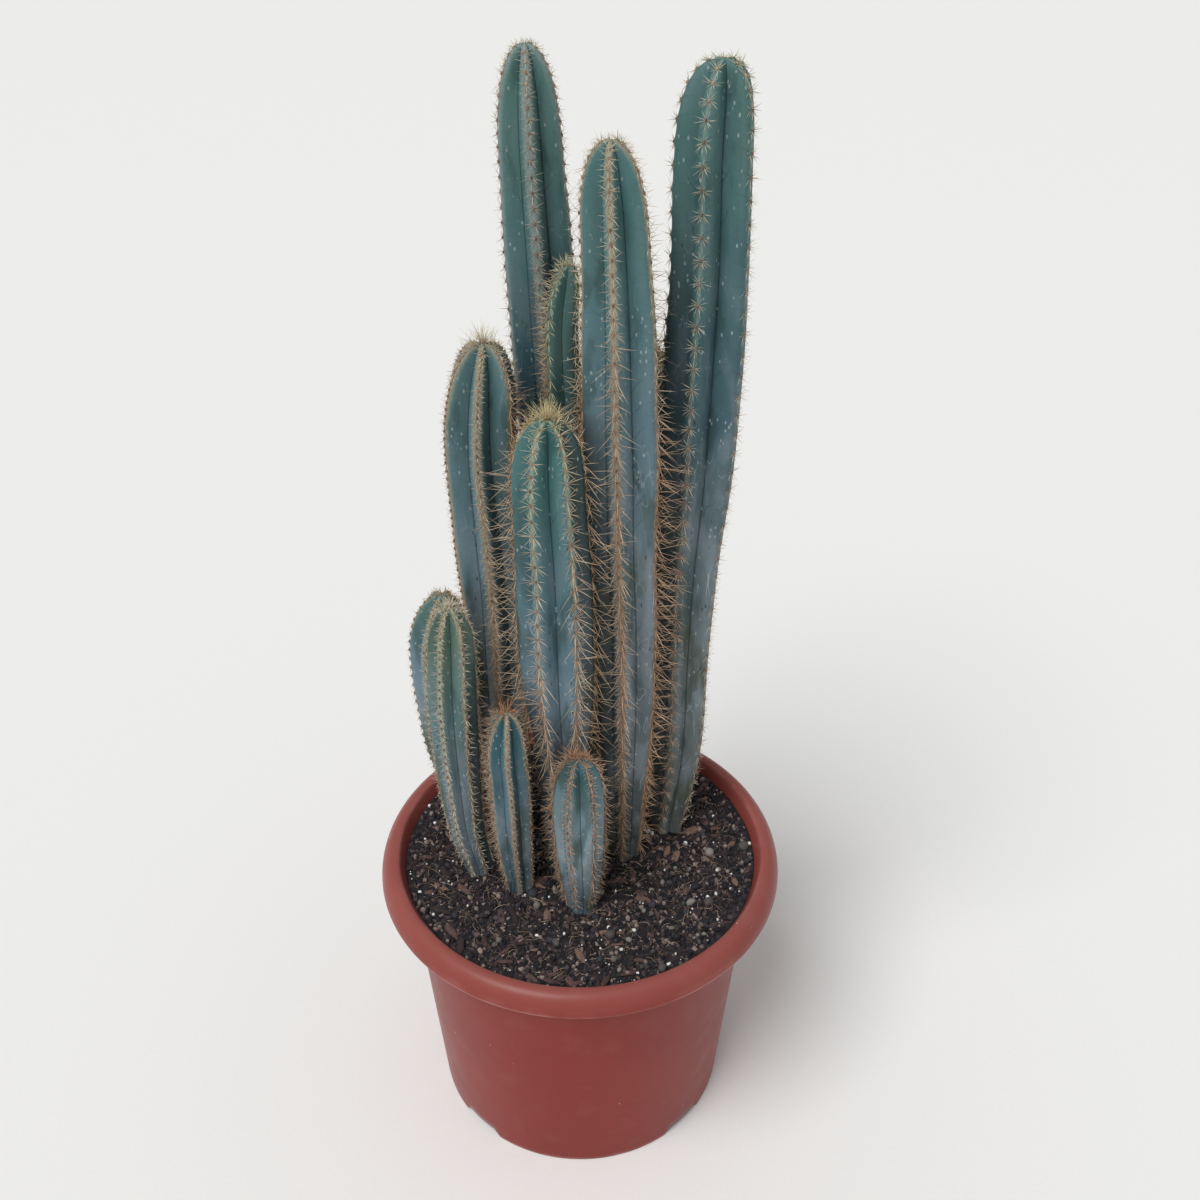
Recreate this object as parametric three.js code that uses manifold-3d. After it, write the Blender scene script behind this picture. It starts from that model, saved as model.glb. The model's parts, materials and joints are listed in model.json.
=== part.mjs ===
// A clump of tall ribbed cactus stems standing in the soil of a round plastic nursery pot.
// Millimetres, +Z up. The origin is under the middle of the pot, on the surface it stands on.
// The front is -Y. Headings are degrees from the front, and positive to the right, which is +X.

import * as THREE from "three";
import { mergeVertices } from "three/addons/utils/BufferGeometryUtils.js";
import Module from "manifold-3d";

const wasm = await Module();
wasm.setup();

// ---------- Driving dimensions ----------

const GAP = 0.3; // between pieces that rest against each other
const MERGE_DISTANCE = 1e-4; // corners closer than this are one corner

const POT_HEIGHT = 232;
const POT_SIDES = 40;
const RIM_RADIUS = 150; // outer edge of the curled rim
const RIM_DROP = 16; // height of the curl
const CURL_STEPS = 3;
const LIP_RADIUS = 136; // inner edge of the rim, at the very top
const LIP_WIDTH = 3; // of the flat top of the rim
const NECK_RADIUS = 129.5; // outside of the wall, where it flares out to the rim
const NECK_HEIGHT = 210;
const FOOT_RADIUS = 113.5;
const WALL = 2.5;
const FOOT_RING = 5; // width of the ring that the pot stands on
const FLOOR_RAISE = 9; // the floor stands clear of the surface, for drainage
const FLOOR_THICKNESS = 3;

const NOTCH_HEADINGS = [-135, -45, 45, 135]; // drainage notches in the foot ring
const NOTCH_WIDTH = 34;
const NOTCH_HEIGHT = 7;
const DRAIN_RADIUS = 7;
const DRAIN_CIRCLE = 78;
const DRAIN_COUNT = 4;
const DRAIN_SIDES = 8;

const SOIL_LEVEL = 223;
const SOIL_RINGS = 5;
// The unevenness of the surface, in waves: the height, length and heading of each.
const SOIL_WAVES = [
  [1.1, 62, 25],
  [0.8, 44, 110],
  [0.5, 31, 70],
];
const SOIL_CALM = 6; // how sharply the waves die away at the wall
const PLANTING_DEPTH = 28; // how far a stem reaches into the soil
const COLLAR = 4; // a stem stands straight up to here above the soil
const HOLE_SIDES = 14;

// A rib's section, from one side of its round crest to the groove beyond it: at shares of the way to
// the next rib, how far the side has risen from the groove's radius to the crest's.
const RIB_SECTION = [
  [-0.16, 0.92],
  [0, 1],
  [0.16, 0.92],
  [0.5, 0],
];
const RING_STEP = 72; // longest stretch of stem between two sections
const CROWN_RINGS = 4;
const CROWN_BLUNTNESS = 2.5; // 2 is an ellipse, more is blunter

const CROWN_CROWDING = 0.5; // spacing of the spines on the crown, of that below it
const SPINE_RADIUS = 0.9; // at the root
const SPINE_SIDES = 3;
const SPINE_SHORTEST = 0.5; // of the stem's longest
const SPINE_ROOT = 3; // how far a spine is sunk into its rib
const SPINE_LEANS = [20, 65]; // degrees that a spine may lean away from straight out
const SPINE_FLATNESS = 0.45; // share of the lean that goes across the rib, not along it
const SPINE_CLEARANCE = 1.6; // kept to every other piece
const SPINE_TRIES = 10;
const SPINE_SEED = 20;
const TUFT_SPINES = 7; // round the growing tip of each stem
const TUFT_LEANS = [25, 75];
const LOWEST_SPINE = 10; // above the soil

// Each stem: its foot in the soil, its height above the soil, the number of ribs and the heading of
// one of them, the height of its crown, and the spacing and longest length of its spines. "grooves"
// is the radius in the grooves at the foot and at the tip, as a share of the crest radius.
// "form" gives, at shares of the height: the shift to the right, the shift back and the crest radius.
const STEMS = [
  {
    name: "stem_tall_right",
    foot: [67, 30],
    height: 572.5,
    ribs: 5,
    turn: -22,
    grooves: [0.6, 0.45],
    crown: 44,
    spacing: 50,
    spine: 9,
    form: [
      [0, 0, 0, 13.5],
      [0.13, 6, 0, 19],
      [0.28, 6.5, 0, 20.6],
      [0.43, 8, 0, 22.6],
      [0.53, 10.6, 0, 24.8],
      [0.64, 12.4, 0, 26.2],
      [0.8, 13.4, 0, 24.7],
      [0.92, 12.4, 0, 23.6],
      [1, 14, 0, 22.4],
    ],
    color: 0x466a66,
  },
  {
    name: "stem_tall_middle",
    foot: [33.5, 2],
    height: 536.5,
    ribs: 5,
    turn: -10,
    grooves: [0.75, 0.46],
    crown: 54,
    spacing: 48,
    spine: 10,
    form: [
      [0, 0, 0, 12.5],
      [0.1, 0, 0, 15],
      [0.24, -0.5, 0, 20],
      [0.4, -1.5, 0, 21.8],
      [0.52, -4.6, 0, 23],
      [0.65, -6.2, 0, 24.6],
      [0.8, -8.4, 0, 22.5],
      [0.91, -11.4, 0, 20.2],
      [1, -14.5, 0, 18.8],
    ],
    color: 0x4a7278,
  },
  {
    name: "stem_tall_left",
    foot: [3, 73],
    height: 570,
    ribs: 5,
    turn: 0,
    grooves: [0.7, 0.52],
    crown: 70,
    spacing: 50,
    spine: 8,
    form: [
      [0, 0, 0, 18.4],
      [0.32, -13, 0, 21.4],
      [0.68, -24, 0, 22.1],
      [0.8, -27, 0, 21.5],
      [0.9, -30, 0, 20],
      [1, -32, 1, 19],
    ],
    color: 0x46686f,
  },
  {
    name: "stem_slim_middle",
    foot: [9, 36],
    height: 452,
    ribs: 4,
    turn: 46,
    grooves: [0.7, 0.6],
    crown: 32,
    spacing: 30,
    spine: 11,
    form: [
      [0, 0, 0, 10.5],
      [0.45, -10, 0, 11.6],
      [0.85, -18, 0, 12.4],
      [0.93, -18, 0, 12],
      [1, -14, 0, 11],
    ],
    color: 0x35564a,
  },
  {
    name: "stem_hidden_back",
    foot: [60, 72],
    height: 386,
    ribs: 6,
    turn: -12,
    grooves: [0.75, 0.55],
    crown: 46,
    spacing: 48,
    spine: 14,
    form: [
      [0, 0, 0, 14.5],
      [0.5, -6, 0, 18.4],
      [0.8, -11, 0, 17.6],
      [1, -15, -2, 15.5],
    ],
    color: 0x4a6a5e,
  },
  {
    name: "stem_left",
    foot: [-53, 28],
    height: 406,
    ribs: 6,
    turn: -2,
    grooves: [0.85, 0.5],
    crown: 64,
    spacing: 41,
    spine: 12,
    form: [
      [0, 0, 0, 15.5],
      [0.33, -3, 0, 21.3],
      [0.53, -3.6, 0, 24.5],
      [0.66, -6.2, 0, 25.3],
      [0.84, -8.8, 0, 24.4],
      [1, -5, 0, 23.4],
    ],
    color: 0x52766a,
  },
  {
    name: "stem_front",
    foot: [-10.4, -14],
    height: 376,
    ribs: 6,
    turn: -26.5,
    grooves: [0.8, 0.5],
    crown: 49,
    spacing: 43,
    spine: 18,
    form: [
      [0, 0, 0, 14.3],
      [0.31, -2, -1, 18.8],
      [0.46, -4, -1, 24],
      [0.56, -5, -1, 25],
      [0.72, -6, -1, 24],
      [0.87, -8, -1, 22.6],
      [1, -8, -1, 21.7],
    ],
    color: 0x3f6b74,
  },
  {
    name: "stem_short_left_front",
    foot: [-76, -15],
    height: 238,
    ribs: 6,
    turn: 36,
    grooves: [0.8, 0.58],
    crown: 42,
    spacing: 30,
    spine: 8,
    form: [
      [0, 0, 0, 10.5],
      [0.16, -7, 0, 12.4],
      [0.37, -10, 0, 14.8],
      [0.68, -11, 0, 16.6],
      [0.84, -10, 1, 15.8],
      [1, -9, 1, 15],
    ],
    color: 0x667a70,
  },
  {
    name: "stem_short_left_back",
    foot: [-84, 46],
    height: 207,
    ribs: 6,
    turn: -24,
    grooves: [0.85, 0.58],
    crown: 48,
    spacing: 34,
    spine: 10,
    form: [
      [0, 0, 0, 13],
      [0.28, -12, 0, 18.4],
      [0.5, -16, 0, 19.4],
      [0.78, -18, 0, 19.8],
      [1, -12, 0, 19],
    ],
    color: 0x5c7068,
  },
  {
    name: "stem_small_front_left",
    foot: [-45, -34],
    height: 167,
    ribs: 6,
    turn: 5,
    grooves: [0.75, 0.6],
    crown: 40,
    spacing: 28,
    spine: 7,
    form: [
      [0, 0, 0, 10.5],
      [0.34, -3, -1, 14.3],
      [0.62, -4, -1, 15],
      [0.78, -5, -2, 14.5],
      [1, -4, -2, 13.8],
    ],
    color: 0x61807c,
  },
  {
    name: "stem_small_front",
    foot: [1, -51],
    height: 139,
    ribs: 6,
    turn: -24,
    grooves: [0.85, 0.6],
    crown: 47,
    spacing: 28,
    spine: 10,
    form: [
      [0, 0, 0, 11],
      [0.31, -1, 0, 15.9],
      [0.58, -2, 0, 17.7],
      [0.74, -2, 0, 17.5],
      [1, -2, 0, 16.8],
    ],
    color: 0x4f7f86,
  },
];

// ---------- Finishes ----------

function finish(color, roughness) {
  return new THREE.MeshStandardMaterial({ color, roughness, metalness: 0 });
}

const SATIN = 0.5; // moulded plastic
const WAXY = 0.55; // the skin of the stems
const DULL = 0.97; // damp peat

const potFinish = finish(0x8c433d, SATIN);
const soilFinish = finish(0x2b211c, DULL);

// ---------- Helpers ----------

const UP = new THREE.Vector3(0, 0, 1);

// The level direction of a heading.
function outward(heading) {
  const angle = THREE.MathUtils.degToRad(heading);
  return new THREE.Vector3(Math.sin(angle), -Math.cos(angle), 0);
}

// A seeded draw, which gives a value between two limits. It is a linear congruential generator with
// the usual 32-bit factor and step.
function seededDraw(seed) {
  const range = 2 ** 32;
  let state = seed;
  return (low, high) => {
    state = (state * 1664525 + 1013904223) % range;
    return THREE.MathUtils.lerp(low, high, state / range);
  };
}

// The bare triangles of a geometry, with its shared corners merged.
function merged(geometry) {
  const bare = new THREE.BufferGeometry();
  bare.setAttribute("position", geometry.getAttribute("position"));
  bare.setIndex(geometry.getIndex());
  return mergeVertices(bare, MERGE_DISTANCE);
}

// A closed geometry as a solid that can be joined and cut.
function solid(geometry) {
  const closed = merged(geometry);
  const mesh = new wasm.Mesh({
    numProp: 3,
    vertProperties: closed.getAttribute("position").array,
    triVerts: new Uint32Array(closed.getIndex().array),
  });
  return new wasm.Manifold(mesh);
}

function namedMesh(name, body, material) {
  const { vertProperties, triVerts } = body.getMesh();
  const geometry = new THREE.BufferGeometry();
  geometry.setAttribute("position", new THREE.BufferAttribute(vertProperties, 3));
  geometry.setIndex(new THREE.BufferAttribute(triVerts, 1));
  geometry.computeVertexNormals();
  const mesh = new THREE.Mesh(geometry, material);
  mesh.name = name;
  return mesh;
}

// A profile of [radius, height] points turned about the Z axis.
function turned(profile) {
  const points = profile.map(([radius, height]) => new THREE.Vector2(radius, height));
  return new THREE.LatheGeometry(points, POT_SIDES).rotateX(Math.PI / 2);
}

// A cylinder standing at a place, from one height up to another.
function post(place, radius, sides, bottom, top) {
  const geometry = new THREE.CylinderGeometry(radius, radius, top - bottom, sides);
  return geometry.rotateX(Math.PI / 2).translate(place.x, place.y, (bottom + top) / 2);
}

// ---------- Pot ----------

const FLOOR_TOP = FLOOR_RAISE + FLOOR_THICKNESS;
const NECK_INSIDE_HEIGHT = NECK_HEIGHT + WALL;

// The inside radius of the pot: a cone up to the neck, and then the flare up to the lip.
function insideRadius(height) {
  const { mapLinear } = THREE.MathUtils;
  const neck = NECK_RADIUS - WALL;
  if (height < NECK_INSIDE_HEIGHT) {
    return mapLinear(height, 0, NECK_INSIDE_HEIGHT, FOOT_RADIUS - WALL, neck);
  }
  return mapLinear(height, NECK_INSIDE_HEIGHT, POT_HEIGHT, neck, LIP_RADIUS);
}

// The curl of the rim, a quarter of an ellipse from its top out and down to its lower edge.
function rimCurl(inset, steps) {
  const start = LIP_RADIUS + LIP_WIDTH;
  return Array.from({ length: steps + 1 }, (_, i) => {
    const angle = ((i / steps) * Math.PI) / 2;
    const radius = start + (RIM_RADIUS - inset - start) * Math.sin(angle);
    const height = POT_HEIGHT - RIM_DROP + (RIM_DROP - inset) * Math.cos(angle);
    return [radius, height];
  });
}

function pot() {
  const profile = [
    [0, FLOOR_RAISE],
    [FOOT_RADIUS - FOOT_RING, FLOOR_RAISE],
    [FOOT_RADIUS - FOOT_RING, 0],
    [FOOT_RADIUS, 0],
    [NECK_RADIUS, NECK_HEIGHT],
    ...rimCurl(WALL, CURL_STEPS),
    ...rimCurl(0, CURL_STEPS).reverse(),
    [LIP_RADIUS, POT_HEIGHT],
    [insideRadius(NECK_INSIDE_HEIGHT), NECK_INSIDE_HEIGHT],
    [insideRadius(FLOOR_TOP), FLOOR_TOP],
    [0, FLOOR_TOP],
  ];
  const notches = NOTCH_HEADINGS.map((heading) => {
    const block = new THREE.BoxGeometry(NOTCH_WIDTH, FOOT_RING * 4, NOTCH_HEIGHT * 2);
    const middle = outward(heading).multiplyScalar(FOOT_RADIUS - FOOT_RING / 2);
    const turn = THREE.MathUtils.degToRad(heading);
    return solid(block.rotateZ(turn).translate(middle.x, middle.y, 0));
  });
  const drains = Array.from({ length: DRAIN_COUNT }, (_, i) => {
    const middle = outward((i * 360) / DRAIN_COUNT).multiplyScalar(DRAIN_CIRCLE);
    return solid(post(middle, DRAIN_RADIUS, DRAIN_SIDES, 0, FLOOR_TOP * 2));
  });
  const body = solid(turned(profile)).subtract(wasm.Manifold.union([...notches, ...drains]));
  return namedMesh("pot", body, potFinish);
}

// ---------- Soil ----------

// How far the surface stands above its level at a place.
function swell(place) {
  const heights = SOIL_WAVES.map(([height, length, heading]) => {
    return height * Math.sin((2 * Math.PI * place.dot(outward(heading))) / length);
  });
  const total = heights.reduce((sum, height) => sum + height);
  const nearWall = Math.hypot(place.x, place.y) / insideRadius(SOIL_LEVEL);
  return total * (1 - nearWall ** SOIL_CALM);
}

function soil() {
  const bottom = FLOOR_TOP + GAP;
  const side = [bottom, NECK_INSIDE_HEIGHT, SOIL_LEVEL].map((height) => {
    return [insideRadius(height) - GAP, height];
  });
  const rings = Array.from({ length: SOIL_RINGS }, (_, i) => {
    return [side.at(-1)[0] * (1 - (i + 1) / SOIL_RINGS), SOIL_LEVEL];
  });
  const geometry = merged(turned([[0, bottom], ...side, ...rings]));
  const position = geometry.getAttribute("position");
  for (let i = 0; i < position.count; i++) {
    const place = new THREE.Vector3().fromBufferAttribute(position, i);
    if (place.z > SOIL_LEVEL - GAP) {
      position.setZ(i, SOIL_LEVEL + swell(place));
    }
  }
  const holes = STEMS.map((stem) => {
    const [x, y] = stem.foot;
    const radius = (stem.form[0][3] + GAP) / Math.cos(Math.PI / HOLE_SIDES);
    const holeFloor = SOIL_LEVEL - PLANTING_DEPTH - GAP;
    return solid(post({ x, y }, radius, HOLE_SIDES, holeFloor, POT_HEIGHT));
  });
  const body = solid(geometry).subtract(wasm.Manifold.union(holes));
  return namedMesh("soil", body, soilFinish);
}

// ---------- Stems ----------

// The stems with the smooth course of their form, and the place of each foot on the soil.
const clump = STEMS.map((stem) => {
  const shares = stem.form.map(([share]) => share);
  const values = stem.form.flatMap(([, ...rest]) => rest);
  return {
    ...stem,
    course: new THREE.CubicInterpolant(shares, values, 3),
    base: new THREE.Vector3(...stem.foot, SOIL_LEVEL),
  };
});

// The middle and the crest radius of a stem at a height above the soil, from the foot's own place.
function sectionAt(stem, height) {
  const share = THREE.MathUtils.clamp((height - COLLAR) / (stem.height - COLLAR), 0, 1);
  const [right, back, girth] = stem.course.evaluate(share);
  const crownShare = THREE.MathUtils.clamp(1 - (stem.height - height) / stem.crown, 0, 1);
  const closing = (1 - crownShare ** CROWN_BLUNTNESS) ** (1 / CROWN_BLUNTNESS);
  return { middle: new THREE.Vector3(right, back, height), radius: girth * closing };
}

// A point of a stem's side at a height and heading, at a share of the rise from groove to crest.
function sidePoint(stem, height, heading, rise) {
  const { clamp, lerp } = THREE.MathUtils;
  const { middle, radius } = sectionAt(stem, height);
  const groove = lerp(...stem.grooves, clamp(height / stem.height, 0, 1));
  return outward(heading).multiplyScalar(radius * lerp(groove, 1, rise)).add(middle);
}

// The heights of a stem's sections: its foot, even steps from the collar to the crown, and the crown.
function sectionHeights(stem) {
  const shoulder = stem.height - stem.crown;
  const steps = Math.ceil((shoulder - COLLAR) / RING_STEP);
  const heights = [-PLANTING_DEPTH];
  for (let step = 0; step <= steps; step++) {
    heights.push(THREE.MathUtils.lerp(COLLAR, shoulder, step / steps));
  }
  for (let ring = 1; ring < CROWN_RINGS; ring++) {
    heights.push(shoulder + stem.crown * Math.sin((ring / CROWN_RINGS) * (Math.PI / 2)));
  }
  return heights;
}

// The corners of one section, rib after rib.
function sectionPoints(stem, height) {
  const pitch = 360 / stem.ribs;
  const ribs = Array.from({ length: stem.ribs }, (_, rib) => rib);
  return ribs.flatMap((rib) => {
    return RIB_SECTION.map(([share, rise]) => {
      return sidePoint(stem, height, stem.turn + (rib + share) * pitch, rise);
    });
  });
}

// The ribbed body, from the foot in the soil to the growing tip.
function ribbedBody(stem) {
  const rings = sectionHeights(stem).map((height) => sectionPoints(stem, height));
  const sides = rings[0].length;
  const foot = sectionAt(stem, -PLANTING_DEPTH).middle;
  const tip = sectionAt(stem, stem.height).middle;
  const points = [...rings.flat(), foot, tip];
  const footIndex = points.length - 2;
  const tipIndex = points.length - 1;
  const lastRing = (rings.length - 1) * sides;
  const faces = [];
  for (let side = 0; side < sides; side++) {
    const next = (side + 1) % sides;
    faces.push(footIndex, next, side);
    for (let low = 0; low < lastRing; low += sides) {
      const high = low + sides;
      faces.push(low + side, low + next, high + next);
      faces.push(low + side, high + next, high + side);
    }
    faces.push(lastRing + side, lastRing + next, tipIndex);
  }
  return new THREE.BufferGeometry().setFromPoints(points).setIndex(faces);
}

// ---------- Spines ----------

// The spine cushions along one rib, from the tip down: each one's place, the way it faces, and the
// directions across the rib and up along it. On the crown they stand closer together.
function cushions(stem, rib) {
  const heading = stem.turn + (rib * 360) / stem.ribs;
  const across = UP.clone().cross(outward(heading));
  const found = [];
  let walked = (rib % 2) * (stem.spacing / 2);
  for (let height = sectionHeights(stem).at(-1); height > LOWEST_SPINE; height -= 1) {
    const place = sidePoint(stem, height, heading, 1);
    const along = sidePoint(stem, height + 1, heading, 1).sub(place);
    walked += along.length();
    const inCrown = height > stem.height - stem.crown;
    if (walked > stem.spacing * (inCrown ? CROWN_CROWDING : 1)) {
      walked = 0;
      along.normalize();
      const facing = across.clone().cross(along);
      found.push({ place, facing, across, along, leans: SPINE_LEANS });
    }
  }
  return found;
}

// A spine as a line from its sunk root to its point, leaning out of its cushion by a random draw.
function drawnSpine(stem, cushion, draw) {
  const lean = THREE.MathUtils.degToRad(draw(...cushion.leans));
  const spin = draw(0, 2 * Math.PI);
  const direction = cushion.facing.clone().multiplyScalar(Math.cos(lean));
  direction.addScaledVector(cushion.across, SPINE_FLATNESS * Math.cos(spin) * Math.sin(lean));
  direction.addScaledVector(cushion.along, Math.sin(spin) * Math.sin(lean));
  const root = cushion.place.clone().addScaledVector(cushion.facing, -SPINE_ROOT);
  const length = stem.spine * draw(SPINE_SHORTEST, 1);
  const point = cushion.place.clone().addScaledVector(direction, length);
  return new THREE.Line3(root, point);
}

// Whether a place, with a spine's clearance round it, is inside another stem, the soil or the pot.
function isTaken(stem, place) {
  if (place.z < SOIL_LEVEL + COLLAR) return true;
  const nearPot = Math.hypot(place.x, place.y) > insideRadius(SOIL_LEVEL) - SPINE_CLEARANCE;
  if (nearPot && place.z < POT_HEIGHT + SPINE_CLEARANCE) return true;
  return clump.some((other) => {
    const offset = place.clone().sub(other.base);
    if (other === stem || offset.z > other.height) return false;
    const { middle, radius } = sectionAt(other, offset.z);
    return offset.distanceTo(middle) < radius + SPINE_CLEARANCE;
  });
}

// A spine moved from its stem's own place to the place where the stem stands.
function standing(stem, spine) {
  return new THREE.Line3(spine.start.clone().add(stem.base), spine.end.clone().add(stem.base));
}

// Whether a spine keeps clear of everything that it doesn't grow from.
function isClear(stem, spine, others) {
  const line = standing(stem, spine);
  const places = [0.25, 0.5, 0.75, 1].map((share) => line.at(share, new THREE.Vector3()));
  if (places.some((place) => isTaken(stem, place))) return false;
  const reach = 2 * SPINE_RADIUS + SPINE_CLEARANCE;
  return others.every((other) => line.distanceSqToLine3(other) > reach ** 2);
}

// A three-sided needle along a line.
function needle(spine) {
  const length = spine.distance();
  const cone = new THREE.ConeGeometry(SPINE_RADIUS, length, SPINE_SIDES);
  cone.translate(0, length / 2, 0);
  const direction = spine.delta(new THREE.Vector3()).normalize();
  const turn = new THREE.Quaternion().setFromUnitVectors(new THREE.Vector3(0, 1, 0), direction);
  return solid(cone.applyQuaternion(turn).translate(...spine.start));
}

// The cushions of a stem: those in the tuft round its growing tip, and those along its ribs.
function allCushions(stem) {
  const tuft = {
    place: sectionAt(stem, stem.height).middle,
    facing: UP,
    across: new THREE.Vector3(1, 0, 0),
    along: new THREE.Vector3(0, 1, 0),
    leans: TUFT_LEANS,
  };
  const found = Array(TUFT_SPINES).fill(tuft);
  for (let rib = 0; rib < stem.ribs; rib++) {
    found.push(...cushions(stem, rib));
  }
  return found;
}

// A stem's spines. One that would meet another piece is bent clear by a new draw, or left out.
function spinesOf(stem, others, draw) {
  const spines = [];
  for (const cushion of allCushions(stem)) {
    for (let attempt = 0; attempt < SPINE_TRIES; attempt++) {
      const spine = drawnSpine(stem, cushion, draw);
      if (isClear(stem, spine, others)) {
        spines.push(spine);
        break;
      }
    }
  }
  return spines;
}

// All the stems, each one joined with its spines, which keep clear of those placed before them.
function stems() {
  const draw = seededDraw(SPINE_SEED);
  const placed = [];
  return clump.map((stem) => {
    const spines = spinesOf(stem, placed, draw);
    placed.push(...spines.map((spine) => standing(stem, spine)));
    const body = wasm.Manifold.union([solid(ribbedBody(stem)), ...spines.map(needle)]);
    const mesh = namedMesh(stem.name, body, finish(stem.color, WAXY));
    mesh.position.copy(stem.base);
    return mesh;
  });
}

// ---------- The potted plant ----------

const pottedCactus = new THREE.Group();
pottedCactus.add(pot(), soil(), ...stems());

export default pottedCactus;
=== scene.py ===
"""A clump of tall ribbed cactus stems in the soil of a round plastic nursery pot.

Lengths are millimetres until a piece is made, and then metres. +Z is up, and the front is -Y.
Headings are degrees from the front, and positive to the right, which is +X.
"""

import json
import math

import bmesh
import bpy
import numpy as np
from mathutils import Matrix, Vector


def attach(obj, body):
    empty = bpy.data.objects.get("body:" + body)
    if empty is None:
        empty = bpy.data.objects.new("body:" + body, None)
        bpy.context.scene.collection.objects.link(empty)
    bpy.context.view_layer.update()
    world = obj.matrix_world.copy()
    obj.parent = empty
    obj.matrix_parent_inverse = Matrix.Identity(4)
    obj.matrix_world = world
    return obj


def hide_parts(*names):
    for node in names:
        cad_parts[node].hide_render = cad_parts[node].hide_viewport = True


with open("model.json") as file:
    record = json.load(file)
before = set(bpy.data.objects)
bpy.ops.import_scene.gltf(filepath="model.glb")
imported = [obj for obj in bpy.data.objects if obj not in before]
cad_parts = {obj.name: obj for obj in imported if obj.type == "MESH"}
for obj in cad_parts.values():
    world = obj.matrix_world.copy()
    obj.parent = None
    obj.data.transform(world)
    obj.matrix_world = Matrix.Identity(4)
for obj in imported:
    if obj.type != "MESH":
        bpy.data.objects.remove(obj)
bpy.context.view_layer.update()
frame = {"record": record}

MM = 0.001
BODY = "root"
SLOTS = {part["node"]: part["material_slot"] for part in frame["record"]["subparts"]}

# ---------- Sizes that the solids have too ----------

POT_HEIGHT = 232
RIM_RADIUS = 150
RIM_DROP = 16  # from the top down to the curl's lower edge
LIP_RADIUS = 136
LIP_WIDTH = 3
NECK_RADIUS = 129.5
NECK_HEIGHT = 210
FOOT_RADIUS = 113.5
WALL = 2.5
FOOT_RING = 5  # width of the ring that the pot stands on
FLOOR_RAISE = 9  # of the floor above what the pot stands on
FLOOR_THICKNESS = 3
NOTCH_HEADINGS = (-135, -45, 45, 135)
NOTCH_WIDTH = 34
NOTCH_HEIGHT = 7
DRAIN_RADIUS = 7
DRAIN_CIRCLE = 78  # radius of the circle of holes
DRAIN_COUNT = 4
GAP = 0.3  # between the soil and the pot

SOIL_LEVEL = 223
SOIL_WAVES = ((1.1, 62, 25), (0.8, 44, 110), (0.5, 31, 70))  # height, length, heading
SOIL_CALM = 6  # the higher, the closer to the wall the waves reach
PLANTING_DEPTH = 28
COLLAR = 4  # above the soil, where a stem's form begins
CROWN_BLUNTNESS = 2.5  # power of the crown's curve, and 2 would be an ellipse

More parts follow.
